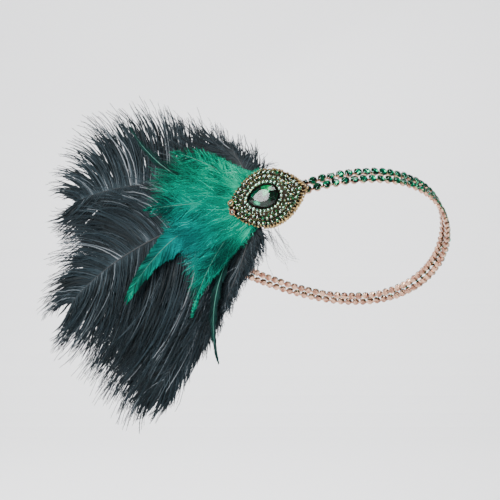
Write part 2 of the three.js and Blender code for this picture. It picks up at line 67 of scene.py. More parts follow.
def loop_point(angle):
    angle = np.asarray(angle, float)[..., None]
    up = np.array([0, math.sin(LOOP["tilt"]), math.cos(LOOP["tilt"])])
    back = np.array([0, math.cos(LOOP["tilt"]), -math.sin(LOOP["tilt"])])
    return (LOOP["half_width"] * np.sin(angle) * np.array([1.0, 0, 0])
            - LOOP["half_depth"] * np.cos(angle) * back
            + LOOP["side_wave"] * np.sin(2 * angle) * up)


def band_across(angle):
    along = unit(loop_point(angle + STEP) - loop_point(angle - STEP))
    upright = unit(np.array([0, 0, 1.0]) - along * along[..., 2:3])
    outward = np.cross(along, upright)
    return math.cos(LOOP["lean"]) * upright - math.sin(LOOP["lean"]) * outward


print("front of the loop:", loop_point(0.0).round(1))

# %% The brooch's frame: x to the right, y up, z out of the front
BROOCH = {"length": 48.4, "height": 34.4, "tip_point": 1.8, "heel_point": 1.6, "on_loop": math.radians(-28),
          "drop": 2.5, "turn": math.radians(22), "rise": math.radians(8), "roll": math.radians(13.9),
          "plate": 1.2, "rim_height": 2.4, "rim_width": 1.5, "end_stretch": 1.5}
ROW_SEPARATION = 5.0
LAYER_PITCH = 1.2
BINDING = np.array([-6.0, -1.0])  # where the quills are bound behind the brooch, in the fan's frame
PLATE_BACK = 4 * LAYER_PITCH
FLOOR = BROOCH["plate"] + SEAT_GAP

front_out = np.array([-math.sin(BROOCH["turn"]) * math.cos(BROOCH["rise"]),
                      -math.cos(BROOCH["turn"]) * math.cos(BROOCH["rise"]), math.sin(BROOCH["rise"])])
front_right = np.array([math.cos(BROOCH["turn"]), -math.sin(BROOCH["turn"]), 0])
front_up = np.cross(front_out, front_right)


def lowest_along(node, direction):
    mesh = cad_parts[node].data
    corners = np.array([vertex.co for vertex in mesh.vertices]) / MM
    return float((corners @ direction).min())


band_middle = (loop_point(BROOCH["on_loop"]) + band_across(BROOCH["on_loop"]) * ROW_SEPARATION / 2
               - front_up * BROOCH["drop"])
fan_back = lowest_along("pear_setting", front_out) - FLOOR - PLATE_BACK
fan_origin = band_middle + front_out * (fan_back - band_middle @ front_out)


def fan_to_part(points):
    """Points of the fan's frame, in millimetres, as points of the part"""
    points = np.asarray(points, float)
    return (fan_origin + points[..., 0:1] * front_right + points[..., 1:2] * front_up
            + points[..., 2:3] * front_out)


def brooch_to_fan(points):
    points = np.asarray(points, float)
    turn, slide = BROOCH["roll"], np.array([0, 0, PLATE_BACK])
    x, y = points[..., 0], points[..., 1]
    return np.stack([x * math.cos(turn) - y * math.sin(turn), x * math.sin(turn) + y * math.cos(turn),
                     points[..., 2]], -1) + slide


def brooch_to_part(points):
    return fan_to_part(brooch_to_fan(points))


def brooch_direction(vectors):
    return unit(brooch_to_part(vectors) - brooch_to_part(np.zeros(3)))


print("middle of the brooch:", brooch_to_part([0, 0, 0]).round(1))

# %% [markdown]
# ## Helpers
# Materials and geometry trees are both made of nodes. One function adds a node and links it, and
# short ones add the few kinds that come up again and again. The rest make meshes and objects.


# %% Nodes of a tree
def add_node(tree, kind, inputs=(), **settings):
    """A node with its settings, its inputs linked or filled in"""
    node = tree.nodes.new(kind)
    for key, value in settings.items():
        setattr(node, key, value)
    for key, value in dict(inputs).items():
        if isinstance(value, bpy.types.NodeSocket):
            tree.links.new(value, node.inputs[key])
        else:
            node.inputs[key].default_value = value
    return node


def maths(tree, operation, *values):
    """The result of one operation on numbers or sockets"""
    return add_node(tree, "ShaderNodeMath", enumerate(values), operation=operation).outputs[0]


def noise(tree, scale, detail=2.0):
    """Noise in the piece's own coordinates"""
    place = add_node(tree, "ShaderNodeTexCoord")
    return add_node(tree, "ShaderNodeTexNoise", {"Vector": place.outputs["Object"], "Scale": scale,
                                                 "Detail": detail}).outputs[0]


def stretch(tree, value, low, high, least=0.0, most=1.0):
    """A value whose range from low to high is stretched to reach from least to most"""
    return add_node(tree, "ShaderNodeMapRange", enumerate((value, low, high, least, most))).outputs[0]


def blend(tree, factor, *colours):
    """Two colours mixed by a factor. Each is a socket or three numbers"""
    first, second = (c if isinstance(c, bpy.types.NodeSocket) else (*c, 1) for c in colours)
    return add_node(tree, "ShaderNodeMix", {0: factor, 6: first, 7: second}, data_type="RGBA").outputs[2]


def shader(name, **values):
    """A material with one Principled shader, and numbers set on its own sockets"""
    material = bpy.data.materials.new(name)
    material.use_nodes = True
    principled = material.node_tree.nodes["Principled BSDF"]
    for label, value in values.items():
        principled.inputs[label.replace("_", " ")].default_value = value
    return material, material.node_tree, principled


def feed(node, **sockets):
    """Links sockets to a node's inputs"""
    for label, socket in sockets.items():
        node.id_data.links.new(socket, node.inputs[label.replace("_", " ")])


def paint(tree, geometry, finish, **named):
    """The same geometry with a finish on all of it, or on a selection"""
    return add_node(tree, "GeometryNodeSetMaterial", {"Geometry": geometry, "Material": finish,
                                                      **named}).outputs[0]


def open_tree(name, *inputs):
    """A new geometry tree, the identifiers of its named inputs and the sockets that hand them out"""
    tree = bpy.data.node_groups.new(name, "GeometryNodeTree")
    identifiers = {}
    for label, kind, *value in inputs:
        socket = tree.interface.new_socket(label, in_out="INPUT", socket_type="NodeSocket" + kind)
        if value:
            socket.default_value = value[0]
        identifiers[label] = socket.identifier
    tree.interface.new_socket("Geometry", in_out="OUTPUT", socket_type="NodeSocketGeometry")
    return tree, identifiers, add_node(tree, "NodeGroupInput").outputs


def attribute_node(tree, name, kind="FLOAT"):
    """The values that a mesh carries under a name"""
    return add_node(tree, "GeometryNodeInputNamedAttribute", {"Name": name}, data_type=kind).outputs[0]


print("node helpers ready")


# %% Meshes and objects
def new_mesh(name, corners, faces=(), edges=()):
    mesh = bpy.data.meshes.new(name)
    mesh.from_pydata(np.asarray(corners, float).reshape(-1, 3).tolist(), edges, faces)
    return mesh


def new_object(name, data):
    """A mesh, a lamp or a camera in the scene"""
    piece = bpy.data.objects.new(name, data)
    bpy.context.scene.collection.objects.link(piece)
    return piece


def set_attribute(mesh, label, rows, kind="FLOAT", key="value"):
    """Numbers on a mesh's points"""
    attribute = mesh.attributes.new(label, kind, "POINT")
    attribute.data.foreach_set(key, np.asarray(rows, np.float32).ravel())


def faces_between(rings, count, closed=False):
    """Faces between rings of corners that all have the same count. Closed joins the last to the first"""
    pairs = rings if closed else rings - 1
    return [[j * count + k, j * count + (k + 1) % count, (j + 1) % rings * count + (k + 1) % count,
             (j + 1) % rings * count + k] for j in range(pairs) for k in range(count)]


def face_outwards(mesh):
    """The same mesh with every face turned to the outside"""
    form = bmesh.new()
    form.from_mesh(mesh)
    bmesh.ops.recalc_face_normals(form, faces=form.faces)
    form.to_mesh(mesh)
    form.free()
    return mesh


def triangles(piece):
    return sum(len(face.vertices) - 2 for face in piece.data.polygons)


print("mesh helpers ready")

# %% [markdown]
# ## Camera, floor and light
# The camera stands level in front of the headband, where the photograph was taken from. The floor
# bends up into a plain backdrop. A broad window light on the left puts the white reflection on
# the large stone's table, and softer lights fill in from above and from the right.

# %% Camera
SENSOR = 36.0
FOCAL = 917 / 500  # focal length as a share of the picture's width
CAMERA_AT = (-50.6 * MM, -607.0 * MM, -2.5 * MM)
camera_data = bpy.data.cameras.new("camera")
camera_data.sensor_width = SENSOR
camera_data.lens = SENSOR * FOCAL
camera_data.clip_start, camera_data.clip_end = 0.05, 20
camera = new_object("camera", camera_data)
camera.location = CAMERA_AT
camera.rotation_euler = (math.pi / 2, 0, 0)
bpy.context.scene.camera = camera
print("lens:", round(camera_data.lens, 1), "mm")

# %% Floor and backdrop
FLOOR_HEIGHT = -0.31
stage_material, stage_tree, stage_shader = shader("pale_paper", Roughness=0.8)
grain = add_node(stage_tree, "ShaderNodeTexNoise", {"Scale": 9.0, "Detail": 3.0})
feed(stage_shader, Base_Color=blend(stage_tree, grain.outputs[0], (0.86, 0.86, 0.87), (0.89, 0.89, 0.90)))
sweep = [(-3.0, 0.0)] + [(0.9 + 0.5 * math.sin(a), 0.5 - 0.5 * math.cos(a))
                         for a in np.linspace(0, math.pi / 2, 13)] + [(1.4, 3.5)]
corners = [(x, y, FLOOR_HEIGHT + z) for y, z in sweep for x in (-4.0, 4.0)]
backdrop = new_object("backdrop", new_mesh("backdrop", corners, [
    (2 * k, 2 * k + 1, 2 * k + 3, 2 * k + 2) for k in range(len(sweep) - 1)]))
backdrop.data.materials.append(stage_material)
print("floor at", FLOOR_HEIGHT, "m")

# %% Lights
LIGHTS = [  # name, from which side of the headband, distance m, width m, height m, watts
    ("window", (-0.66, -0.68, 0.32), 1.3, 0.66, 0.72, 50),
    ("ceiling", (0.15, -0.25, 1.0), 1.5, 0.9, 0.9, 46),
    ("right_fill", (0.85, -0.55, 0.25), 1.6, 0.4, 0.8, 14),
    ("back_rim", (-0.3, 0.9, 0.8), 1.3, 1.0, 0.5, 12),
]
for name, side, distance, width, height, watts in LIGHTS:
    lamp = bpy.data.lights.new(name, "AREA")
    lamp.shape, lamp.size, lamp.size_y, lamp.energy = "RECTANGLE", width, height, watts
    holder = new_object(name, lamp)
    away = unit(side)
    holder.location = away * distance
    holder.rotation_euler = Vector(away).to_track_quat("Z", "Y").to_euler()
world = bpy.data.worlds.new("studio")
world.use_nodes = True
world.node_tree.nodes["Background"].inputs["Color"].default_value = (0.86, 0.88, 0.92, 1)
world.node_tree.nodes["Background"].inputs["Strength"].default_value = 0.45
bpy.context.scene.world = world
print("lights:", [row[0] for row in LIGHTS])

# %% [markdown]
# ## Finishes of the metal and the stones
# The chain's cups are pale rose gold and the brooch is an older yellow gold. The metal under and
# between its stones, round the pear and on its back is painted near black, as painted shade. A
# rhinestone is clear glass in front and has foil behind: its crown lets light in, and its back is a
# tinted mirror that throws it out again. Each cut stone gets both on one mesh.


# %% Metals
def metal(name, bright, worn, roughness, patch, grain=180.0):
    """Metal with dull patches, whose edges are softer with a larger patch number"""
    material, tree, principled = shader(name, Metallic=1.0)
    cloud = noise(tree, grain, 4.0)
    bump = add_node(tree, "ShaderNodeBump", {"Strength": 0.12, "Distance": 0.0001,
                                             "Height": noise(tree, 1500.0)})
    feed(principled, Base_Color=blend(tree, stretch(tree, cloud, 0.5 - patch, 0.5 + patch), bright, worn),
         Roughness=stretch(tree, cloud, 0.3, 0.7, roughness, roughness + 0.16), Normal=bump.outputs[0])
    return material


rose_gold = metal("rose_gold", (0.50, 0.31, 0.21), (0.20, 0.09, 0.062), 0.18, 0.12, 320.0)
old_gold = metal("old_gold", (0.64, 0.47, 0.22), (0.07, 0.045, 0.025), 0.2, 0.08, 620.0)
# Painted shade: a near-black gold for the hollows under and between the brooch's stones, round the pear and
# on its back
painted_shade_gold = metal("painted_shade_gold", (0.022, 0.018, 0.011), (0.006, 0.006, 0.006), 0.5, 0.2)
print("metals ready")


# %% Glass and foil
def stone_finish(name, glass, foil, foil_deep, foil_roughness, ior):
    """Clear tinted glass for the front of a stone, and its foil for the back"""
    front, tree, principled = shader(name + "_glass", Transmission_Weight=1.0, IOR=ior)
    tint = noise(tree, 260.0)
    feed(principled, Base_Color=blend(tree, tint, glass, [c ** 1.3 for c in glass]),
         Roughness=stretch(tree, tint, 0, 1, 0.02, 0.06))
    back, tree, principled = shader(name + "_foil", Metallic=1.0)
    cloud = noise(tree, 420.0)
    feed(principled, Base_Color=blend(tree, stretch(tree, cloud, 0.35, 0.65), foil, foil_deep),
         Roughness=stretch(tree, cloud, 0, 1, foil_roughness, foil_roughness + 0.1))
    return front, back


emerald, deep_emerald, smoky, mint = (stone_finish(*row) for row in (
    ("emerald", (0.02, 0.52, 0.38), (0.0, 0.27, 0.17), (0.0, 0.016, 0.012), 0.06, 1.28),
    ("deep_emerald", (0.01, 0.46, 0.34), (0.0, 0.20, 0.13), (0.0, 0.02, 0.015), 0.08, 1.34),
    ("smoky", (0.13, 0.50, 0.32), (0.01, 0.16, 0.085), (0.002, 0.010, 0.006), 0.1, 1.46),
    ("mint", (0.62, 0.88, 0.77), (0.26, 0.48, 0.38), (0.02, 0.06, 0.045), 0.1, 1.5)))
print("stones ready")

# %% [markdown]
# ## Setting stones and cups with Geometry Nodes
# Cups, claws and stones repeat hundreds of times, so one small form is made for each and a node
# tree sets copies of it on points. Every point knows which way is along and which way is out, and
# how large its copy is.


# %% The tree that sets a form on points
def setting_tree():
    tree, identifiers, given = open_tree("set_on_points", ("Geometry", "Geometry"), ("Form", "Object"),
                                         ("Finish", "Material"), ("Foil", "Material"))
    form = add_node(tree, "GeometryNodeObjectInfo", {"Object": given["Form"]})
    axes = [attribute_node(tree, name, "FLOAT_VECTOR") for name in ("out", "along")]
    turn = add_node(tree, "FunctionNodeAxesToRotation", enumerate(axes), primary_axis="Z", secondary_axis="X")
    copies = add_node(tree, "GeometryNodeInstanceOnPoints", {
        "Points": given["Geometry"], "Instance": form.outputs["Geometry"], "Rotation": turn.outputs[0],
        "Scale": attribute_node(tree, "size")})
    real = add_node(tree, "GeometryNodeRealizeInstances", {"Geometry": copies.outputs[0]})
    painted = paint(tree, real.outputs[0], given["Finish"])
    foiled = paint(tree, painted, given["Foil"], Selection=attribute_node(tree, "backed", "BOOLEAN"))
    add_node(tree, "NodeGroupOutput", {"Geometry": foiled})
    return tree, identifiers


SETTING = setting_tree()


def run_tree(name, source, tree_and_inputs, values):
    """Runs a tree on a source mesh and keeps the plain mesh that comes out as a new object"""
    tree, identifiers = tree_and_inputs
    base = new_object(name + "_source", source)
    modifier = base.modifiers.new("nodes", "NODES")
    modifier.node_group = tree
    for label, value in values.items():
        modifier[identifiers[label]] = value
    bpy.context.view_layer.update()
    depsgraph = bpy.context.evaluated_depsgraph_get()
    mesh = bpy.data.meshes.new_from_object(base.evaluated_get(depsgraph), preserve_all_data_layers=True,
                                           depsgraph=depsgraph)
    base.modifiers.remove(modifier)
    bpy.data.objects.remove(base)
    return new_object(name, mesh)


def points_mesh(name, places, along, out, size=1.0):
    """Points in metres for the setting tree, from places in millimetres"""
    mesh = new_mesh(name, np.asarray(places) * MM)
    count = len(mesh.vertices)
    for label, rows in (("along", along), ("out", out)):
        set_attribute(mesh, label, np.broadcast_to(rows, (count, 3)), "FLOAT_VECTOR", "vector")
    set_attribute(mesh, "size", np.broadcast_to(size, count))
    return mesh


def set_on_points(name, form, points, finish, foil=None):
    piece = run_tree(name, points, SETTING, {"Form": form, "Finish": finish, "Foil": foil or finish})
    print(name, "copies:", len(points.vertices), "triangles:", triangles(piece))
    return piece


print("setting tree:", len(SETTING[0].nodes), "nodes")

# %% [markdown]
# ## Forms to copy
# A cup is pressed from sheet, a claw is a bent strip and a stone is cut with a table, stars and kites.
# Each form is built once from its profile, so its size and number of facets are easy to change.


# %% Forms in millimetres: turned shapes, bent strips and cut stones
def turned(profile, sides):
    """A closed shape turned about z from [radius, height] pairs, from its low axis to its high one"""
    corners, rings, faces = [], [], []
    for radius, height in profile:
        count = 1 if radius == 0 else sides
        rings.append([len(corners) + k for k in range(count)])
        corners += [(radius * math.cos(2 * math.pi * k / sides), radius * math.sin(2 * math.pi * k / sides),
                     height) for k in range(count)]
    for low, high in zip(rings, rings[1:]):
        for k in range(sides):
            after = (k + 1) % sides
            quad = [low[k % len(low)], low[after % len(low)], high[after % len(high)], high[k % len(high)]]
            faces.append(list(dict.fromkeys(quad)))
    return corners, faces


def strip(path, width, thickness, turn):
    """A bent strip along [radius, height] points, stood at an angle round z"""
    path = np.asarray(path, float)
    heading = unit(np.gradient(path, axis=0))
    normal = np.stack([-heading[:, 1], heading[:, 0]], -1)
    corners = []
    for k, point in enumerate(path):
        half = width[k] / 2 if isinstance(width, (list, tuple)) else width / 2
        for side, lift in ((-1, -1), (1, -1), (1, 1), (-1, 1)):
            radius, height = point + normal[k] * lift * thickness / 2
            corners.append((radius * math.cos(turn) - side * half * math.sin(turn),
                            radius * math.sin(turn) + side * half * math.cos(turn), height))
    last = 4 * (len(path) - 1)
    return corners, faces_between(len(path), 4) + [[3, 2, 1, 0], [last, last + 1, last + 2, last + 3]]


def block(low, high):
    corners = [(x, y, z) for x in (low[0], high[0]) for y in (low[1], high[1]) for z in (low[2], high[2])]
    return corners, [[0, 1, 3, 2], [4, 6, 7, 5], [0, 4, 5, 1], [2, 3, 7, 6], [0, 2, 6, 4], [1, 5, 7, 3]]


def form_object(name, *shapes, backed=()):
    """Shapes in millimetres as one small object to copy. backed lists the faces that carry foil"""
    corners, faces = [], []
    for shape_corners, shape_faces in shapes:
        faces += [[index + len(corners) for index in face] for face in shape_faces]
        corners += list(shape_corners)
    mesh = face_outwards(new_mesh(name, np.asarray(corners) * MM, faces))
    if backed:
        attribute = mesh.attributes.new("backed", "BOOLEAN", "FACE")
        attribute.data.foreach_set("value", [k in backed for k in range(len(faces))])
    return new_object(name, mesh)


def cut_stone(name, outline, girdle, table, middle, pavilion, mains=8):
    """A brilliant cut: a table, stars, kites and girdle facets in front, a foiled pavilion behind.
    outline(angle, share) gives the stone's line; table, middle and pavilion are [share, height]"""
    corners, faces = [], []

    def ring(count, share, height, shift=0.0):
        first = len(corners)
        for k in range(count):
            x, y = outline(2 * math.pi * (k + shift) / count, share)
            corners.append((x, y, height))
        return [first + k for k in range(count)]

    top = ring(mains, *table)
    mid = ring(mains, *middle, 0.5)
    high = ring(2 * mains, 1.0, girdle[1])
    low = ring(2 * mains, 1.0, girdle[0])
    deep = ring(mains, *pavilion[0])
    x, y = outline(0.0, 0.0)
    corners.append((x, y, pavilion[1]))
    faces.append(top)
    for k in range(mains):
        after = (k + 1) % mains
        faces.append([top[k], mid[k], top[after]])
        faces.append([top[k], mid[k - 1], high[2 * k], mid[k]])
        faces.append([mid[k], high[2 * k], high[2 * k + 1]])
        faces.append([mid[k], high[2 * k + 1], high[(2 * k + 2) % (2 * mains)]])
    for k in range(2 * mains):
        faces.append([high[k], low[k], low[(k + 1) % (2 * mains)], high[(k + 1) % (2 * mains)]])
    first_foiled = len(faces)
    for k in range(mains):
        after = (k + 1) % mains
        faces.append([low[2 * k], deep[k], low[2 * k + 1]])
        faces.append([low[2 * k + 1], deep[k], deep[after]])
        faces.append([low[2 * k + 1], deep[after], low[(2 * k + 2) % (2 * mains)]])
        faces.append([deep[k], len(corners) - 1, deep[after]])
    return form_object(name, (corners, faces), backed=set(range(first_foiled, len(faces))))


def round_outline(radius):
    return lambda angle, share: (radius * share * math.cos(angle), radius * share * math.sin(angle))


print("form helpers ready")

# %% [markdown]
# ## Cup chain
# Each stone sits in a pressed cup with four claws bent over it, and a short bar joins each cup to
# the next. The stones of both rows are spaced evenly along the part's own two lines.

# %% Places along the two rows
CUP = {"diameter": 4.7, "spacing": 0.97, "height": 2.4, "crown": 0.9}
ROWS = {"lower": (math.radians(-12.7), 0.0), "upper": (math.radians(-13.75), ROW_SEPARATION)}


def row_line(angle, offset):
    return loop_point(angle) + offset * band_across(angle)


def row_length(start, offset):
    line = row_line(start + np.linspace(0, 2 * math.pi, 2881), offset)
    return np.concatenate([[0], np.cumsum(np.linalg.norm(np.diff(line, axis=0), axis=1))])


STONES_PER_ROW = round(row_length(*ROWS["lower"])[-1] / (CUP["diameter"] + CUP["spacing"]))


def row_places(start, offset):
    run = row_length(start, offset)
    at = np.interp(np.arange(STONES_PER_ROW) / STONES_PER_ROW * run[-1], run,
                   start + np.linspace(0, 2 * math.pi, 2881))
    along = unit(row_line(at + STEP, offset) - row_line(at - STEP, offset))
    return row_line(at, offset), along, unit(np.cross(along, band_across(at)))


print("stones in each row:", STONES_PER_ROW)

# %% One cup, one stone
rim = CUP["diameter"] / 2
base = -CUP["crown"] - CUP["height"]
cup_wall = turned([(0, base), (rim * 0.84, base), (rim - 0.1, -1.5), (rim - 0.06, -1.2), (rim - 0.12, -1.1),
                   (rim - 0.25, -1.4), (1.5, base + 0.35), (0, base + 0.35)], 16)
claws = [strip([(rim - 0.06, -1.9), (rim + 0.27, -1.05), (rim + 0.12, -0.62), (rim - 0.3, -0.28)],
               [0.6, 0.5, 0.4, 0.3], 0.2, math.radians(45 + 90 * k)) for k in range(4)]
bar = block((rim - 0.5, -0.65, base + 0.5), (rim + CUP["spacing"] + 0.5, 0.65, base + 1.2))
cup_form = form_object("cup_form", cup_wall, *claws, bar)
chaton_form = cut_stone("chaton_form", round_outline(rim + 0.22), (-1.06, -0.94), (0.38, 0.04), (0.74, -0.28),
                        ((0.55, -2.0), -2.8))
print("cup:", triangles(cup_form), "stone:", triangles(chaton_form))

# %% Both rows
TILT_JITTER = 0.08
for row, (start, offset) in ROWS.items():
    places, along, out = row_places(start, offset)
    cups = set_on_points(row + "_row_cups", cup_form, points_mesh(row, places, along, out), rose_gold)
    chance = np.random.default_rng(3 if row == "lower" else 4)
    tilted = unit(out + chance.normal(0, TILT_JITTER, out.shape))
    stones = set_on_points(row + "_row_stones", chaton_form, points_mesh(row, places, along, tilted),
                           *emerald)
    for piece, slot in ((cups, "pale_gold"), (stones, "emerald_stone")):
        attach(piece, "root")
    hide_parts(row + "_crystal_row")

# %% [markdown]
# ## Brooch
# The outline is a leaf: pointed where it meets the chain and rounder at its heel. Round the large
# pear stone runs a ring of tiny pale stones, then rows of small smoky stones down to a beaded
# gold edge. The rows are laid inwards from the edge, as a setter would lay them.

# %% Outlines of the brooch and the pear
PEAR = {"length": 18.0, "width": 13.0, "pointing": 0.45, "rounding": 0.5, "along": -1.6, "up": 0.6,
        "girdle": 2.3, "crown": 2.1, "table": 0.56, "wall": 0.8, "wall_height": 2.9}
PEAR_MIDDLE = np.array([PEAR["along"], PEAR["up"]])


def brooch_outline(angle, inset=0.0):
    angle = np.asarray(angle, float)
    point = BROOCH["heel_point"] + (BROOCH["tip_point"] - BROOCH["heel_point"]) * (1 + np.cos(angle)) / 2
    sine = np.sin(angle)
    return np.stack([(BROOCH["length"] / 2 - inset * BROOCH["end_stretch"]) * np.cos(angle),
                     (BROOCH["height"] / 2 - inset) * sine * np.abs(sine) ** (point - 1)], -1)


half_round = np.radians(np.arange(90) * 2)
PEAR_FULLNESS = float((np.sin(half_round) * np.cos(half_round / 2) ** PEAR["pointing"]).max())


def pear_outline(angle, growth=0.0):
    angle = np.asarray(angle, float)
    narrowing = np.abs(np.cos(angle / 2)) ** PEAR["pointing"]
    x = (PEAR["length"] / 2 + growth) * np.cos(angle)
    y = (PEAR["width"] / 2 + growth) * np.sin(angle) * narrowing / PEAR_FULLNESS
    y = y + PEAR["rounding"] * growth * np.sin(angle) * (1 - narrowing)
    return np.stack([x + PEAR["along"], y + PEAR["up"]], -1)


def ring_line(angle, share):
    """A line a share of the way from the pear's setting to the rim"""
    inner = pear_outline(angle, PEAR["wall"] + 2 * SEAT_GAP)
    outer = brooch_outline(angle, BROOCH["rim_width"] + SEAT_GAP)
    return inner + (outer - inner) * share


ZONE = BROOCH["height"] / 2 - BROOCH["rim_width"] - PEAR["width"] / 2 - PEAR["wall"] - 3 * SEAT_GAP
RING_WIDTH = 2.1  # of the ring of tiny stones
RING_END = RING_WIDTH / ZONE
SEAT_TOP, SEAT_FALL = 2.25, 1.15


def seat_height(share):
    """Top of the setting: it slopes down from the pear to the rim"""
    return FLOOR + SEAT_TOP - SEAT_FALL * np.asarray(share)


def evenly(line, spacing):
    """Places at an even spacing along a closed line, with the direction along it"""
    angle = np.linspace(0, 2 * math.pi, 721)
    points = line(angle)
    run = np.concatenate([[0], np.cumsum(np.linalg.norm(np.diff(points, axis=0), axis=1))])
    count = max(3, round(run[-1] / spacing))
    at = np.interp(np.arange(count) / count * run[-1], run, angle)
    return line(at), unit(line(at + 1e-3) - line(at - 1e-3))


print("width of the stones' zone:", round(ZONE, 2), "mm")


# %% Swept rings: a profile carried round a line
def swept(name, rows, material):
    """A closed ring from a list of closed lines, each [x, y] points with a height, outside up"""
    corners = np.concatenate([np.column_stack([points, np.broadcast_to(height, len(points))])
                              for points, height in rows])
    faces = faces_between(len(rows), len(rows[0][0]), closed=True)
    mesh = face_outwards(new_mesh(name, brooch_to_part(corners) * MM, faces))
    mesh.materials.append(material)
    return new_object(name, mesh)


ROUND = np.arange(144) / 144 * 2 * math.pi
FIELD_START = RING_END + 0.02
FIELD_SUNK, RING_SUNK = 0.35, 0.3  # how far the metal lies under the stones' seats
# The beds under the stones and the pear's wall get the near-black gold: painted shade
field = swept("stone_field_base", [(ring_line(ROUND, FIELD_START), FLOOR)]
              + [(ring_line(ROUND, s), seat_height(s) - FIELD_SUNK) for s in np.linspace(FIELD_START, 1, 5)]
              + [(ring_line(ROUND, 1.0), FLOOR)], painted_shade_gold)
collar = swept("inner_ring_base", [(ring_line(ROUND, 0), FLOOR)]
               + [(ring_line(ROUND, s), seat_height(s) - RING_SUNK) for s in (0, RING_END / 2, RING_END)]
               + [(ring_line(ROUND, RING_END), FLOOR)], painted_shade_gold)
wall_top = FLOOR + PEAR["wall_height"]
setting = swept("pear_setting_wall", [
    (pear_outline(ROUND, SEAT_GAP), FLOOR), (pear_outline(ROUND, SEAT_GAP), wall_top - 0.1),
    (pear_outline(ROUND, SEAT_GAP + 0.15), wall_top),
    (pear_outline(ROUND, SEAT_GAP + 0.3), wall_top - 0.3),
    (pear_outline(ROUND, SEAT_GAP + PEAR["wall"]), wall_top - 1.4),
    (pear_outline(ROUND, SEAT_GAP + PEAR["wall"]), FLOOR)], painted_shade_gold)
print("brooch rings:", triangles(field) + triangles(collar) + triangles(setting), "triangles")

# %% [markdown]
# ## Plate, boss and beaded edge
# The brooch is soldered up on a stamped plate, and the feathers are bound to a boss on its back. Round
# the edge run rows of small gold beads. They are set a little unevenly, as they are on the real one,
# and the lower rows show only along the edge that no feather covers.

# %% Plate with its boss
# Inset and height of the plate's section, from its back up over the rim and down to its face
plate_rows = [(0.9, 0.0), (0.35, 0.35), (0.35, 1.6), (0.8, 2.0), (BROOCH["rim_width"], 1.5),
              (BROOCH["rim_width"] + 0.05, BROOCH["plate"])]
corners = np.concatenate([np.column_stack([brooch_outline(ROUND, inset), np.full(len(ROUND), height)])
                          for inset, height in plate_rows])
count = len(ROUND)
faces = faces_between(len(plate_rows), count)
for first in (0, (len(plate_rows) - 1) * count):
    half = count // 2
    for k in range(half):
        quad = [first + k, first + k + 1, first + (count - k - 1) % count, first + (count - k) % count]
        faces.append(list(dict.fromkeys(quad)))
plate_mesh = face_outwards(new_mesh("brooch_back", brooch_to_part(corners) * MM, faces))
plate = new_object("brooch_back", plate_mesh)
boss_depth = (lowest_along("pear_setting", front_out) - FLOOR) - lowest_along("brooch_plate", front_out)
BOSS_RADIUS, BOSS_BEVEL, BOSS_TOP = 5.5, 0.3, 0.2
boss = turned([(0, -boss_depth), (BOSS_RADIUS - BOSS_BEVEL, -boss_depth),
               (BOSS_RADIUS, -boss_depth + BOSS_BEVEL), (BOSS_RADIUS, BOSS_TOP), (0, BOSS_TOP)], 32)
turn = -BROOCH["roll"]
binding = (BINDING[0] * math.cos(turn) - BINDING[1] * math.sin(turn),
           BINDING[0] * math.sin(turn) + BINDING[1] * math.cos(turn), 0)
boss_points = brooch_to_part(np.asarray(boss[0]) + binding)
boss_mesh = face_outwards(new_mesh("brooch_boss", boss_points * MM, boss[1]))
boss_piece = new_object("brooch_boss", boss_mesh)
# The plate and boss get the near-black gold too: painted shade
for mesh in (plate_mesh, boss_mesh):
    mesh.materials.append(painted_shade_gold)
print("boss:", round(boss_depth, 2), "mm deep")

# %% Beads of the edge
bead_form = form_object("bead_form", turned([(0, -0.62), (0.36, -0.5), (0.62, 0), (0.36, 0.5), (0, 0.62)], 8))
# inset, height, size, spacing, whether the row runs only along the free edge, clear of the feathers
bead_rows = [(0.75, 2.5, 0.85, 1.9, False), (0.2, 1.85, 1.05, 1.95, False), (0.0, 1.0, 1.1, 1.9, True),
             (0.15, 0.9, 0.95, 2.1, False), (0.1, 0.1, 1.1, 1.85, True), (0.05, -0.8, 1.1, 1.9, True),
             (0.35, -1.6, 1.05, 1.9, True)]
FREE_EDGE = (-1.9, 0.5)  # from one heading to the other, in radians
LOST = 0.24  # share of the beads that are missing or hidden along the rest of the edge
BEAD_SHIFT, BEAD_SIZES = 0.1, (0.86, 1.1)
places, alongs, sizes = [], [], []
chance = np.random.default_rng(7)
for inset, height, size, spacing, free_only in bead_rows:
    spots, tangents = evenly(lambda angle: brooch_outline(angle, inset), spacing)
    around = np.arctan2(spots[:, 1], spots[:, 0])
    free = (around > FREE_EDGE[0]) & (around < FREE_EDGE[1])
    chosen = free | (chance.uniform(0, 1, len(spots)) > (1.0 if free_only else LOST))
    spots, tangents = spots[chosen], tangents[chosen]
    uneven = chance.normal(0, BEAD_SHIFT, (len(spots), 3))
    places.append(np.column_stack([spots, np.full(len(spots), height)]) + uneven)
    alongs.append(np.column_stack([tangents, np.zeros(len(spots))]))
    sizes.append(size * chance.uniform(*BEAD_SIZES, len(spots)))
edge = set_on_points("brooch_beaded_edge", bead_form, points_mesh(
    "beads", brooch_to_part(np.concatenate(places)), brooch_direction(np.concatenate(alongs)), front_out,
    np.concatenate(sizes)), old_gold)

# %% [markdown]
# ## Small stones
# A setter lays the largest stones first, in rows that follow the edge, and fills what is left with
# smaller ones. Each stone here looks for a free spot in the same way. All of them are tilted by a
# hair, so that only some of their tables catch the window.

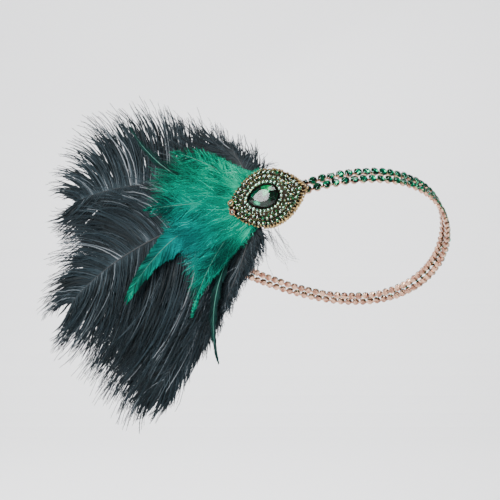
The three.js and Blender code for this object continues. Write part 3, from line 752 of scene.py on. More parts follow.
# %% Where the small stones go
SMALL_STONE, SMALL_PITCH = 2.8, 2.86
FILLERS = (2.3, 1.8, 1.4)
FIRST_ROW, LAST_ROW = 1.3, 15.0  # millimetres inside the stones' outer edge
SEARCH = 0.35  # how finely the fillers look for a free spot
TINY = {"line": 0.28, "pitch": 2.36, "size": 1.08, "lift": 0.1}
RINGED = {"diameter": 3.7, "along": -21.6, "spread": 5.4, "shift": -0.7, "tilt": -0.12, "lift": 1.1,
          "stone": 1.2}
ringed_places = np.array([(RINGED["along"], RINGED["shift"] + hand * RINGED["spread"] / 2)
                          for hand in (1, -1)])
# How far a small stone may lap over its neighbours, in millimetres
LAP = {"stone": 0.12, "ring": 0.7, "rim": 0.35, "ringed": 0.3}


def inside(points, polygon):
    """Which points lie inside a closed line"""
    x, y = points[:, 0:1], points[:, 1:2]
    a, b = polygon, np.roll(polygon, -1, axis=0)
    crosses = (a[:, 1] > y) != (b[:, 1] > y)
    with np.errstate(divide="ignore", invalid="ignore"):
        at = a[:, 0] + (y - a[:, 1]) / (b[:, 1] - a[:, 1]) * (b[:, 0] - a[:, 0])
    return (crosses & (x < at)).sum(1) % 2 == 1


inner_edge = ring_line(np.linspace(0, 2 * math.pi, 361)[:-1], RING_END)
FIELD_EDGE = 0.95  # how far inside the outline the stones' outer edge lies
rim_line = brooch_outline(np.linspace(0, 2 * math.pi, 361), FIELD_EDGE)
kept = []  # x, y, diameter


def lay(spots, diameter):
    """Keeps the spots where a stone has room beside the ring, the rim and the stones already laid"""
    for spot in spots:
        others = np.array(kept) if kept else np.array([[99.0, 99.0, 0.0]])
        clear = np.linalg.norm(others[:, :2] - spot, axis=1) - (others[:, 2] + diameter) / 2
        near_ring = np.linalg.norm(inner_edge - spot, axis=1).min()
        near_rim = np.linalg.norm(rim_line - spot, axis=1).min()
        near_ringed = np.linalg.norm(ringed_places - spot, axis=1).min()
        in_field = inside(spot[None], rim_line)[0] and not inside(spot[None], inner_edge)[0]
        if (in_field and clear.min() > -LAP["stone"] and near_ring > diameter / 2 - LAP["ring"]
                and near_rim > diameter / 2 - LAP["rim"]
                and near_ringed > (RINGED["diameter"] + diameter) / 2 - LAP["ringed"]):
            kept.append((*spot, diameter))


for inset in np.arange(FIRST_ROW, LAST_ROW, SMALL_PITCH):
    lay(evenly(lambda angle: brooch_outline(angle, FIELD_EDGE + inset), SMALL_PITCH)[0], SMALL_STONE)
for diameter in FILLERS:
    for inset in np.arange(2 * SEARCH, LAST_ROW, SEARCH):
        lay(evenly(lambda angle: brooch_outline(angle, FIELD_EDGE + inset), 2 * SEARCH)[0], diameter)
field_spots, field_sizes = np.array(kept)[:, :2], np.array(kept)[:, 2]
ring_spots, _ = evenly(lambda angle: ring_line(angle, RING_END * TINY["line"]), TINY["pitch"])
print("small stones:", len(field_spots), "tiny stones:", len(ring_spots))

# %% Small stones in their cups
small_cup_form = form_object(
    "small_cup_form",
    turned([(0, -0.5), (0.82, -0.5), (0.94, 0.05), (0.9, 0.1), (0.8, 0.0), (0, -0.2)], 12),
    *[strip([(0.93, -0.1), (1.0, 0.22), (0.78, 0.46)], [0.3, 0.28, 0.2], 0.13, math.radians(45 + 90 * k))
      for k in range(4)])
small_stone_form = cut_stone("small_stone_form", round_outline(0.98), (0.1, 0.15), (0.4, 0.66), (0.76, 0.46),
                             ((0.5, -0.06), -0.12), 6)


def share_of(spots):
    """How far each spot lies from the pear's setting to the rim, as a share"""
    shares = np.linspace(0, 1, 41)
    lines = np.stack([ring_line(np.linspace(0, 2 * math.pi, 361), share) for share in shares])
    gaps = np.linalg.norm(lines[None] - spots[:, None, None], axis=-1).min(-1)
    return shares[gaps.argmin(1)]


# How far a stone is off its spot, how its size varies, how it leans outwards and how it is tilted
OFF_SPOT, SIZES, OUTWARDS, TILTED = 0.09, (0.93, 1.06), 0.04, 0.06


def set_small(name, spots, size, lift, seed, finishes):
    """Stones with their cups on a row of spots, each a little uneven"""
    chance = np.random.default_rng(seed)
    spots = spots + chance.normal(0, OFF_SPOT, spots.shape)
    size = size * chance.uniform(*SIZES, len(spots))
    outwards = unit(spots - PEAR_MIDDLE)
    facing = np.column_stack([OUTWARDS * outwards, np.ones(len(spots))])
    facing = unit(facing + chance.normal(0, TILTED, facing.shape))
    places = brooch_to_part(np.column_stack([spots, seat_height(share_of(spots)) + lift]))
    spin = chance.uniform(0, 2 * math.pi, len(spots))
    along = brooch_direction(np.column_stack([np.cos(spin), np.sin(spin), np.zeros(len(spots))]))
    points = [points_mesh(name, places, along, brooch_direction(facing), size) for _ in range(2)]
    return (set_on_points(name + "_cups", small_cup_form, points[0], old_gold),
            set_on_points(name, small_stone_form, points[1], *finishes))


field_cups, field_stones = set_small("field_stones", field_spots, field_sizes / 2, 0.0, 5, smoky)
ring_cups, ring_stones = set_small("tiny_ring_stones", ring_spots, TINY["size"], TINY["lift"], 6, mint)

# %% [markdown]
# ## Large stone and ringed stones
# The pear is a foiled crystal with a broad table, glued in a plain wall. Its one bright green facet
# is a painted highlight: the foil faces at those headings get a brighter foil. The two ringed stones
# at the heel are small dark stones in turned rings, one yellow and one pink.


# %% The pear
def pear_share(angle, share):
    return PEAR_MIDDLE + (pear_outline(angle) - PEAR_MIDDLE) * share


girdle = FLOOR + PEAR["girdle"]
crown_foot = girdle + 0.3
pear = cut_stone("pear_stone", pear_share, (girdle, crown_foot), (PEAR["table"], crown_foot + PEAR["crown"]),
                 (0.82, crown_foot + PEAR["crown"] * 0.52), ((0.5, FLOOR + 0.75), FLOOR), 12)
pear_corners = np.array([vertex.co for vertex in pear.data.vertices]) / MM
pear.data.vertices.foreach_set("co", (brooch_to_part(pear_corners) * MM).astype(np.float32).ravel())
painted_glint_foil = shader("painted_glint_foil", Metallic=1.0, Roughness=0.35, Base_Color=(0.0, 0.48, 0.22, 1))[0]
PAINTED_GLINT = (36, 84)  # headings of the foil faces painted brighter as a painted highlight, in degrees
for material in (*deep_emerald, painted_glint_foil):
    pear.data.materials.append(material)
backed = np.zeros(len(pear.data.polygons), bool)
pear.data.attributes["backed"].data.foreach_get("value", backed)
centres = np.array([pear_corners[list(face.vertices)].mean(0)[:2] for face in pear.data.polygons])
around = np.degrees(np.arctan2(*(centres - PEAR_MIDDLE).T[::-1]))
# The foil faces at these headings get the brighter foil: a painted highlight
bright = backed & (around > PAINTED_GLINT[0]) & (around < PAINTED_GLINT[1])
pear.data.polygons.foreach_set("material_index", backed.astype(np.int32) + bright)
print("pear:", triangles(pear), "triangles")

# %% The two ringed stones
seat = BROOCH["rim_height"] + SEAT_GAP
ring_profile = [(1.12, 0.0), (1.85, 0.0), (1.85, 1.2), (1.72, 1.46), (1.5, 1.55), (1.28, 1.46), (1.12, 1.2)]
RING_SIDES = 28
ring_corners, ring_faces = turned(ring_profile + ring_profile[:1], RING_SIDES)
closed = RING_SIDES * len(ring_profile)  # the last row of corners is the first one again
ringed_form = form_object("ringed_form", (ring_corners[:closed], [[index % closed for index in face]
                                                                  for face in ring_faces]))
ringed_pieces = []
for label, spot in zip(("upper", "lower"), ringed_places):
    place = brooch_to_part([[*spot, seat]])
    facing = brooch_direction([[RINGED["tilt"], 0, 1]])
    ring_piece = set_on_points("ringed_stone_" + label + "_ring", ringed_form,
                               points_mesh(label, place, front_right, facing),
                               old_gold if label == "upper" else rose_gold)
    raised = brooch_to_part([[*spot, seat + RINGED["lift"]]])
    dome = set_on_points(
        "ringed_stone_" + label + "_dome", small_stone_form,
        points_mesh(label, raised, front_right, brooch_direction([[0, 0, 1]]), RINGED["stone"]), *smoky)
    ringed_pieces += [(ring_piece, "pale_gold", []), (dome, "smoky_stone", ["ringed_stone_" + label])]

# %% Brooch pieces ride on the part
for piece, slot, nodes in [
        (plate, "pale_gold", ["brooch_plate"]), (boss_piece, "pale_gold", []), (edge, "pale_gold", []),
        (field, "pale_gold", []), (field_cups, "pale_gold", []),
        (field_stones, "smoky_stone", ["stone_field"]), (collar, "pale_gold", []),
        (ring_cups, "pale_gold", []), (ring_stones, "mint_stone", ["inner_stone_ring"]),
        (setting, "pale_gold", ["pear_setting"]), (pear, "emerald_stone", ["pear_crystal"]), *ringed_pieces]:
    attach(piece, "root")
    if nodes:
        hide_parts(*nodes)
for form in (cup_form, chaton_form, bead_form, small_cup_form, small_stone_form, ringed_form):
    bpy.data.objects.remove(form)
print("brooch done")

# %% [markdown]
# ## Feathers
# A feather is a quill with hundreds of barbs, and each barb carries fine barbules. On an ostrich
# plume the barbs are long, loose and fluffy. On a hackle they zip into a smooth blade near the tip,
# and near the root they fall apart into down. The barbs' lines are worked out here from each
# feather's sizes, and a node tree turns every line into a flat strand and sows barbules along it.

# %% Sizes of the fan
PLUME = {"quill": 140.0, "barb": 50.0, "thickness": 5.0, "peak": 0.5, "tip_share": 0.55}
HACKLE = {"quill": 100.0, "barb": 22.0, "thickness": 3.4, "peak": 0.6, "tip_share": 0.45}
VALLEY = 0.74  # a barb's share in the notch between two locks
ROOT_CIRCLE = 8.0  # how far from the binding the quills start
COLUMNS = ("name", "kind", "layer", "root_at", "heading", "lead", "bend", "tail", "left", "right", "spread",
           "tip_spread", "locks")
FEATHERS = [dict(zip(COLUMNS, row)) for row in (
    ("ostrich_plume_upper", PLUME, 0, 160, 165, 0.52, 31, 0.42, 0.8, 1.18, 82, 26, 9),
    ("ostrich_plume_lower", PLUME, 0, 236, 246, 0.54, -16, 0.34, 0.9, 1.04, 50, 10, 9),
    ("ostrich_plume_left", PLUME, 1, 198, 193, 0.55, 31, 0.42, 1.24, 0.56, 66, 24, 9),
    ("marabou_tuft_upper", PLUME, 1, 115, 122, 0.13, 3, 0.08, 0.76, 0.42, 66, 20, 5),
    ("marabou_tuft_lower", PLUME, 1, 246, 262, 0.28, -23, 0.22, 0.46, 0.4, 44, 14, 6),
    ("hackle_upper_spear", HACKLE, 2, 173, 172, 0.51, -47, 0.45, 0.34, 0.42, 36, 5, 7),
    ("hackle_long", HACKLE, 2, 202, 189, 0.47, 54, 0.54, 0.56, 0.5, 44, 14, 7),
    ("hackle_lower_spear", HACKLE, 2, 243, 238, 0.53, 51, 0.44, 0.34, 0.36, 34, 5, 7),
    ("hackle_upper", HACKLE, 3, 138, 141, 0.26, 24, 0.26, 0.5, 1.0, 52, 22, 6),
    ("hackle_left", HACKLE, 3, 182, 181, 0.3, 9, 0.32, 0.72, 0.56, 48, 16, 7),
    ("hackle_lower", HACKLE, 3, 230, 226, 0.32, 36, 0.4, 0.9, 0.62, 46, 12, 7),
)]
# Ways that barbs grow, in millimetres and degrees. Broad under-barbs behind them close the gaps, and their
# low tones make them darker than the barbs in front: painted shade deep in the mass.
# least is the fullness that a feather keeps at its root, vary how much the barbs' tones differ, ragged
# how uneven their ends are and edge the share of the fan's edge that they stay in
STYLE_COLUMNS = ("pitch", "radius", "fluff", "reach", "flare", "curl", "scatter", "wave", "lift", "tone",
                 "depth", "least", "vary", "ragged", "edge")
STYLES = {name: dict(zip(STYLE_COLUMNS, row)) for name, *row in (
    ("plume", 0.38, 0.33, 2.1, 1.0, 24, 22, 4.5, 1.1, 2.4, 0.5, 0.0, 0.6, 0.35, 0.07, 1.0),
    ("plume_under", 0.41, 0.95, 0.0, 0.9, 20, 14, 8.0, 1.0, 1.0, 0.16, -0.7, 0.75, 0.35, 0.07, 0.95),
    ("tuft", 0.24, 0.2, 2.2, 1.0, 10, 18, 20.0, 2.0, 2.6, 0.37, 0.0, 0.6, 0.7, 0.14, 1.03),
    ("tuft_under", 0.4, 0.8, 0.0, 0.8, 10, 8, 16.0, 1.0, 1.0, 0.07, -0.6, 0.7, 0.5, 0.12, 0.9),
    ("blade", 0.24, 0.38, 0.0, 1.0, 6, 8, 1.2, 0.08, 0.3, 0.24, 0.0, 0.1, 0.35, 0.05, 1.0),
    ("spear", 0.4, 0.32, 0.0, 0.9, 4, 8, 3.0, 0.2, 0.3, 0.1, 0.0, 0.3, 0.35, 0.05, 1.0),
    ("downy", 0.5, 0.2, 1.6, 1.0, 10, 16, 9.0, 0.9, 1.0, 0.42, 0.0, 0.5, 0.35, 0.06, 1.0),
    ("downy_under", 0.5, 0.9, 0.0, 1.1, 10, 10, 12.0, 0.6, 0.6, 0.18, -0.5, 0.85, 0.35, 0.05, 0.9),
)}
RIBBON = 0.7  # a barb with a larger radius than this is a flat under-barb
SORTS = {"ostrich": ("plume", "plume_under"), "marabou": ("tuft", "tuft_under"),
         "hackle": ("downy", "downy_under")}
BLADES = {"hackle_long": ("blade",), "hackle_upper_spear": ("spear",), "hackle_lower_spear": ("spear",)}
BARB_STEPS = 7
# Each layer of the fan splays forwards by its own slope, and the whole fan bends back towards its rim
LAYER_SPLAY, FAN_BEND = 0.085, 0.001
print("feathers:", len(FEATHERS))


# %% [markdown]
# ## Lines of the quills and barbs
# A quill is a slow bend, and a barb leaves it at a slant, curls towards the tip and waves a little.
# Barbs hook into locks that lean and wave together, with notches between them. The fan was trimmed
# and steamed into its outline, so a barb that would pass the fan's edge is cut short there.


# %% Lines of a quill
def heading_unit(degrees):
    angle = np.radians(degrees)
    return np.stack([np.cos(angle), np.sin(angle)], -1)


def quill_line(row, share):
    """Point and heading in degrees at a share of the way along a feather's quill"""
    share = np.asarray(share, float)[..., None]
    root = BINDING + heading_unit(row["root_at"]) * ROOT_CIRCLE
    knee = root + heading_unit(row["heading"]) * row["lead"] * row["kind"]["quill"]
    tip = knee + heading_unit(row["heading"] + row["bend"]) * row["tail"] * row["kind"]["quill"]
    point = (1 - share) ** 2 * root + 2 * share * (1 - share) * knee + share ** 2 * tip
    tangent = (1 - share) * (knee - root) + share * (tip - knee)
    return point, np.degrees(np.arctan2(tangent[..., 1], tangent[..., 0])) % 360


def fan_height(points, layer):
    """Height of a layer's middle surface over the back of the fan"""
    out = np.maximum(0, np.hypot(points[..., 0], points[..., 1]) - BROOCH["length"] / 2)
    return (layer + 0.5) * LAYER_PITCH - SEAT_GAP / 2 + LAYER_SPLAY * layer * out - FAN_BEND * out ** 2, out


def fullness(share, kind, least):
    rising = np.sin(np.pi / 2 * (least + (1 - least) * np.minimum(share / kind["peak"], 1))) ** 1.2
    falling = 1 - (1 - kind["tip_share"]) * (np.maximum(share - kind["peak"], 0) / (1 - kind["peak"])) ** 2
    return np.where(share < kind["peak"], rising, falling)


def lock_reach(share, locks):
    """Barbs reach furthest in the middle of a lock and least in the notch between two"""
    station = np.asarray(share) * 2 * locks
    return 1 - (1 - VALLEY) * np.abs((station % 2) - 1)


print("quill ready")

# %% The outline of the fan
# How far the black fan and the green down reach from the fan's middle, mm, by heading in degrees
FAN_EDGE = [(97, 24), (104, 27), (116, 33), (124, 39), (128, 49), (132, 59), (134, 69), (137, 77), (138, 85),
            (140, 96), (143, 106), (145, 116), (149, 126), (151, 135), (155, 142), (157, 147), (161, 149),
            (165, 154), (169, 156), (173, 158), (178, 161), (181, 159), (188, 150), (190, 148), (195, 160),
            (198, 168), (202, 171), (208, 166), (212, 161), (218, 158), (223, 156), (229, 154), (235, 152),
            (241, 150), (244, 132), (247, 104), (251, 68), (257, 46), (263, 38), (271, 30), (283, 21)]
GREEN_EDGE = [(125, 19), (134, 24), (139, 31), (141, 39), (143, 45), (146, 51), (150, 57), (154, 62),
              (159, 67), (162, 71), (166, 74), (172, 75), (177, 73), (183, 71), (189, 68), (194, 66),
              (201, 64), (208, 61), (215, 61), (222, 63), (230, 66), (235, 70), (238, 67), (240, 42),
              (242, 26), (250, 17)]
SHORTEST, SLACK = 0.12, (0.7, 1.06)  # least share of a barb that is kept, and limits of the uneven edge


def inside_edge(path, edge, scale, chance, ragged=0.05):
    """How much of each path lies inside the edge, as a share of its length"""
    headings, radii = np.transpose(edge)
    around = np.degrees(np.arctan2(path[..., 1], path[..., 0])) % 360
    uneven = chance.normal(scale, ragged, len(path)).clip(*SLACK)[:, None]
    beyond = np.hypot(path[..., 0], path[..., 1]) > np.interp(around, headings, radii) * uneven
    beyond[:, 0] = False
    first = np.where(beyond.any(1), beyond.argmax(1), path.shape[1])
    return np.clip(first / path.shape[1], SHORTEST, 1)


print("edge points:", len(FAN_EDGE), len(GREEN_EDGE))

# %% Bent, waved and lifted paths
# Room that a layer has for its barbs beside the brooch and how it grows outwards, in millimetres, and
# how much a barb rises in its middle and at its end
ROOM, ROOM_GROWTH = 0.9, 0.055
MIDDLE_RISE, END_RISE = 0.45, 0.5


def bent(start, first, last, reach):
    """Paths that leave their start at one heading and end at another, in the fan's plane"""
    t = (np.arange(BARB_STEPS) + 0.5) / BARB_STEPS
    steps = heading_unit(first[:, None] + (last - first)[:, None] * t) * (reach / BARB_STEPS)[:, None, None]
    return np.concatenate([start[:, None], start[:, None] + np.cumsum(steps, 1)], 1)


def waved(path, angle, size, chance, lock):
    """The same paths with a slow wave across them that grows towards their ends. Paths with one lock
    number wave together"""
    t = np.linspace(0, 1, BARB_STEPS + 1)
    locks = lock.max() + 1
    turns, start, swell = (chance.uniform(low, high, locks)[lock] + chance.normal(0, own, len(path))
                           for low, high, own in ((1.2, 2.6, 0.1), (0, 6.3, 0.3), (0.3, 1.3, 0.15)))
    swing = np.sin(t * np.pi * turns[:, None] + start[:, None]) * t * size * swell[:, None]
    return path + swing[..., None] * heading_unit(angle + 90)[:, None]


def lifted(path, row, amount, depth, chance):
    """Flat paths laid on their layer's surface, rising and sinking a little"""
    t = np.linspace(0, 1, BARB_STEPS + 1)
    height, out = fan_height(path, row["layer"])
    room = np.minimum(row["kind"]["thickness"], ROOM + ROOM_GROWTH * out) / row["kind"]["thickness"]
    count = len(path)
    lift = (chance.normal(0, MIDDLE_RISE, count)[:, None] * np.sin(np.pi * t * 0.8)
            + chance.normal(0, END_RISE, count)[:, None] * t ** 2)
    height = height + (np.clip(lift, -1, 1) * amount + depth) * room
    return np.concatenate([path, height[..., None]], -1)


print("paths ready")

# %% Barbs on both sides of a quill
# Sides that grow their own way: how much further the barbs reach, how many degrees they lie closer to
# the quill, how much lighter they are and how much of that reach their under-barbs have
PLAIN = (1.0, 0, 0.0, 1.0)
GROWTH = {"ostrich_plume_upper": {"left": (2.0, 18, -0.16, 1.0), "right": (2.3, 0, 0.0, 0.92)},
          "ostrich_plume_left": {"left": (2.1, 12, -0.05, 0.9), "right": (2.2, 10, 0.02, 0.85)},
          "ostrich_plume_lower": {"left": (1.5, 8, -0.02, 0.95), "right": (2.9, 14, 0.0, 1.0)},
          "marabou_tuft_upper": {"left": (1.7, 10, 0.0, 0.95), "right": (1.0, 0, 0.0, 0.9)},
          "marabou_tuft_lower": {"left": (0.9, 6, 0.0, 0.85), "right": (1.6, 6, 0.0, 0.75)},
          "hackle_long": {"left": (1.3, -4, 0.0, 1.0), "right": (1.15, -4, 0.0, 1.0)}}
STRAY, STRAY_REACH = 0.06, 1.07  # share of the barbs that stray past the edge, and how far
LEAST_REACH = 1.4  # the shortest barb, in millimetres
PALE_AND_HIGHLIGHT = {"hackle_long": 0.2}  # how much lighter a feather is near its middle: partly its paler colour, partly a painted highlight
PALE_AND_HIGHLIGHT_AT, PALE_AND_HIGHLIGHT_SPAN = 0.46, 0.13  # where along the quill, as shares of it
BLADE_END = {"from": 0.45, "over": 0.2, "by": 0.34}  # where a smooth blade narrows, and how much
BUNCHES = 4  # in a lock
# How much of the scatter the barbs of a bunch share, and how much is each barb's own
BARB_SCATTER, RIBBON_SCATTER = (0.85, 0.35), (0.3, 0.85)
REACHES, CURLS, OWN_CURL, BUNCH_TONE = (0.84, 1.06), (0.5, 1.6), 0.12, 0.1


def barb_lines(row, style, edge, chance):
    """Barbs on both sides of a quill: points in the fan's frame, and a tone for each"""
    length = (row["lead"] + row["tail"]) * row["kind"]["quill"]
    count = int(length / style["pitch"])
    lines, tones = [], []
    for hand, side in ((1, "left"), (-1, "right")):
        share = np.clip((np.arange(count) + chance.uniform(0, 1, count)) / count, 0, 1)
        point, heading = quill_line(row, share)
        spread = row["spread"] + (row["tip_spread"] - row["spread"]) * share ** 2
        reach = (row[side] * row["kind"]["barb"] * fullness(share, row["kind"], style["least"])
                 * (1 if style is STYLES["blade"] else lock_reach(share, row["locks"]))
                 * style["reach"] * chance.uniform(*REACHES, count))
        # Barbs of one bunch lean together
        bunches = BUNCHES * row["locks"]
        bunch = np.clip(share * bunches + 0.6 * chance.uniform(-1, 1, count), 0, bunches).astype(int)
        together, alone = RIBBON_SCATTER if style["radius"] > RIBBON else BARB_SCATTER
        angle = (spread + chance.normal(0, style["scatter"] * together, bunches + 1)[bunch]
                 + chance.normal(0, style["scatter"] * alone, count))
        growth, turned_in, lighter, under = GROWTH.get(row["name"], {}).get(side, PLAIN)
        angle = angle - turned_in
        first = heading + hand * (angle + style["flare"])
        curl = chance.uniform(*CURLS, bunches + 1)[bunch] + chance.normal(0, OWN_CURL, count)
        last = heading + hand * (angle - style["curl"] * curl)
        if style is STYLES["blade"]:
            past = np.clip((share - BLADE_END["from"]) / BLADE_END["over"], 0, 1)
            reach = reach * (1 - BLADE_END["by"] * past)
        reach = np.maximum(LEAST_REACH, reach * growth)
        if edge:
            stray = np.where(chance.uniform(0, 1, count) < STRAY, STRAY_REACH, 1.0)
            path = bent(point, first, last, reach)
            reach = reach * stray * inside_edge(path, edge, style["edge"], chance, style["ragged"])
        if style["radius"] > RIBBON:
            reach = reach * under
        path = bent(point, first, last, reach)
        path = waved(path, heading + hand * angle, style["wave"], chance, bunch)
        lines.append(lifted(path, row, style["lift"], style["depth"], chance))
        # A lighter band near the quill's middle: partly the feather's paler colour, partly a painted
        # highlight
        pale = PALE_AND_HIGHLIGHT.get(row["name"], 0) * np.exp(-((share - PALE_AND_HIGHLIGHT_AT) / PALE_AND_HIGHLIGHT_SPAN) ** 2)
        tones.append(np.clip(style["tone"] + lighter + pale + chance.normal(0, BUNCH_TONE, bunches + 1)[bunch]
                             + chance.normal(0, style["vary"] * style["tone"], count), 0, 1))
    return np.concatenate(lines), np.concatenate(tones)


print("barbs ready")

# %% [markdown]
# ## Down and wisps
# The green feathers fall apart into down near their roots. It lies in tufts of fine filaments that fan
# out from behind the brooch, and the tufts further out lie lower, as in layers of small feathers. A
# few loose wisps of the black tuft stray out below the brooch's heel.

# %% Down: tufts between two headings, and how many
DOWN = {"hackle_upper": (118, 160, 115), "hackle_left": (158, 206, 150), "hackle_lower": (204, 243, 135)}
FILAMENTS = 12
DOWN_ROOT = 9.0  # how close to the fan's middle a tuft may start, mm
# Lengths in millimetres, full only where the edge is that far out, then how much headings and turns vary
# in degrees, how much tones vary, and the height near the brooch, its fall outwards and its steps
TUFT = {"lengths": (12, 24), "full_at": 60, "heading": 15, "turn": 30, "tone": 0.13, "height": 1.3,
        "fall": 1.9, "step": 0.25}
FILAMENT = {"shift": 1.4, "heading": 10, "turn": 12, "lengths": (0.6, 1.1), "wave": 1.2, "lift": 0.5,
            "tone": 0.15}


def down_lines(row, chance):
    """Filaments of a feather's tufts, and a tone for each"""
    low, high, tufts = DOWN[row["name"]]
    heading = chance.uniform(low, high, tufts)
    headings, radii = np.transpose(GREEN_EDGE)
    limit = np.interp(heading, headings, radii)
    share = np.sqrt((np.arange(tufts) + 0.5) / tufts)
    length = chance.uniform(*TUFT["lengths"], tufts) * np.clip(limit / TUFT["full_at"], 0.5, 1)
    radius = np.maximum(DOWN_ROOT, DOWN_ROOT + (limit - length * 0.8 - DOWN_ROOT) * share)
    start = heading_unit(heading) * radius[:, None]
    angle = heading + chance.normal(0, TUFT["heading"], tufts)
    turn = chance.normal(0, TUFT["turn"], tufts)
    tones = np.clip(0.5 + chance.normal(0, TUFT["tone"], tufts), 0, 1)
    height = TUFT["height"] - TUFT["fall"] * share + chance.uniform(-TUFT["step"], TUFT["step"], tufts)
    start, angle, turn, length, tones, height = (
        np.repeat(values, FILAMENTS, axis=0) for values in (start, angle, turn, length, tones, height))
    count = len(angle)
    start = start + chance.normal(0, FILAMENT["shift"], (count, 2))
    angle = angle + chance.normal(0, FILAMENT["heading"], count)
    turn = turn + chance.normal(0, FILAMENT["turn"], count)
    length = length * chance.uniform(*FILAMENT["lengths"], count)
    first, last = angle - turn / 2, angle + turn / 2
    length = length * inside_edge(bent(start, first, last, length), GREEN_EDGE, 1.0, chance)
    path = waved(bent(start, first, last, length), angle, FILAMENT["wave"], chance,
                 np.arange(count) // FILAMENTS)
    lines = lifted(path, row, FILAMENT["lift"], 0.0, chance)
    lines[..., 2] += height[:, None]
    return lines, np.clip(tones + chance.normal(0, FILAMENT["tone"], count), 0, 1)


print("down for:", list(DOWN))

# %% Wisps: where they start, their headings at both ends, their lengths, how many and their tone
WISPS = {"marabou_tuft_lower": ((0.0, -18.0), (272, 312), (287, 347), (14, 28), 18, 0.62)}
WISP_SHIFT, WISP_WAVE, WISP_LIFT = 2.2, 1.6, 1.2


def wisp_lines(row, chance):
    """Loose wisps, and a tone for each"""
    place, firsts, lasts, lengths, count, tone = WISPS[row["name"]]
    start = np.array(place) + chance.normal(0, WISP_SHIFT, (count, 2))
    first, last, length = (chance.uniform(*limits, count) for limits in (firsts, lasts, lengths))
    path = waved(bent(start, first, last, length), first, WISP_WAVE, chance, np.arange(count))
    return lifted(path, row, WISP_LIFT, 0.0, chance), np.full(count, tone)


print("wisps for:", list(WISPS))

# %% [markdown]
# ## Strands and barbules
# A real barb is a flat blade with a fringe of barbules, so every line becomes a flat three-sided strand
# that faces the front and thins to its end. Fine cones are sown along it at a slant, on random sides.


# %% Lines as a mesh of edges
def lines_mesh(name, lines, radius, **values):
    """Open lines as a mesh of edges in metres, with a number on each point for the node tree"""
    count, steps = lines.shape[:2]
    index = np.arange(count * steps).reshape(count, steps)
    edges = np.stack([index[:, :-1].ravel(), index[:, 1:].ravel()], -1)
    mesh = new_mesh(name, fan_to_part(lines).reshape(-1, 3) * MM, edges=edges.tolist())
    for label, rows in {"radius_here": radius, **values}.items():
        set_attribute(mesh, label, np.broadcast_to(rows, (count, steps)))
    return mesh


# %% The tree that grows strands and barbules
def strand_tree():
    tree, identifiers, given = open_tree(
        "strands_and_barbules", ("Geometry", "Geometry"), ("Sides", "Int", 3), ("Flatness", "Float", 0.4),
        ("Facing", "Vector", tuple(front_out)), ("Sowing", "Float", 2.0 * MM),
        ("Barbule Width", "Float", 0.1 * MM), ("Slant", "Float", 0.75), ("Seed", "Int", 1),
        ("Finish", "Material"))

    def chance(low, high, shift):
        seed = maths(tree, "ADD", given["Seed"], float(shift))
        return add_node(tree, "FunctionNodeRandomValue", {2: low, 3: high, "Seed": seed},
                        data_type="FLOAT").outputs[1]

    def vectors(operation, *values, **named):
        return add_node(tree, "ShaderNodeVectorMath", {**dict(enumerate(values)), **named},
                        operation=operation).outputs[0]

    # The strands
    curves = add_node(tree, "GeometryNodeMeshToCurve", {"Mesh": given["Geometry"]})
    faced = add_node(tree, "GeometryNodeSetCurveNormal", {"Curve": curves.outputs[0],
                                                          "Normal": given["Facing"]}, mode="FREE")
    circle = add_node(tree, "GeometryNodeCurvePrimitiveCircle", {"Resolution": given["Sides"], "Radius": 1.0})
    squash = add_node(tree, "ShaderNodeCombineXYZ", {0: given["Flatness"], 1: 1.0, 2: 1.0})
    profile = add_node(tree, "GeometryNodeTransform", {"Geometry": circle.outputs[0],
                                                       "Scale": squash.outputs[0]})
    strands = add_node(tree, "GeometryNodeCurveToMesh", {
        "Curve": faced.outputs[0], "Profile Curve": profile.outputs[0],
        "Scale": attribute_node(tree, "radius_here"), "Fill Caps": True})
    # The barbules
    sown = add_node(tree, "GeometryNodeCurveToPoints", {
        "Curve": curves.outputs[0], "Length": given["Sowing"]}, mode="LENGTH")
    tangent, fluff = sown.outputs["Tangent"], attribute_node(tree, "fluff")
    beside = vectors("CROSS_PRODUCT", given["Facing"], tangent)
    slanted = maths(tree, "MULTIPLY", maths(tree, "SIGN", chance(-1.0, 1.0, 0)), given["Slant"])
    sideways = vectors("ADD", tangent, vectors("SCALE", beside, Scale=slanted))
    direction = vectors("ADD", sideways, vectors("SCALE", given["Facing"], Scale=chance(-0.6, 0.6, 1)))
    turn = add_node(tree, "FunctionNodeAlignRotationToVector", {"Vector": direction}, axis="Z")
    hair = add_node(tree, "GeometryNodeMeshCone", {"Vertices": 3, "Radius Top": 0.0, "Radius Bottom": 1.0,
                                                   "Depth": 1.0})
    width, length = given["Barbule Width"], maths(tree, "MULTIPLY", fluff, chance(0.55, 1.15, 2))
    size = add_node(tree, "ShaderNodeCombineXYZ", enumerate((width, width, length)))
    fluffy = add_node(tree, "FunctionNodeCompare", {0: fluff, 1: 0.02 * MM}, operation="GREATER_THAN",
                      data_type="FLOAT")
    hairs = add_node(tree, "GeometryNodeInstanceOnPoints", {
        "Points": sown.outputs["Points"], "Selection": fluffy.outputs[0], "Instance": hair.outputs[0],
        "Rotation": turn.outputs[0], "Scale": size.outputs[0]})
    # Both as one mesh
    both = add_node(tree, "GeometryNodeJoinGeometry")
    tree.links.new(hairs.outputs[0], both.inputs[0])
    tree.links.new(strands.outputs[0], both.inputs[0])
    real = add_node(tree, "GeometryNodeRealizeInstances", {"Geometry": both.outputs[0]})
    smooth = add_node(tree, "GeometryNodeSetShadeSmooth", {"Geometry": real.outputs[0]})
    add_node(tree, "NodeGroupOutput", {"Geometry": paint(tree, smooth.outputs[0], given["Finish"])})
    return tree, identifiers


STRANDS = strand_tree()
print("strand tree:", len(STRANDS[0].nodes), "nodes")

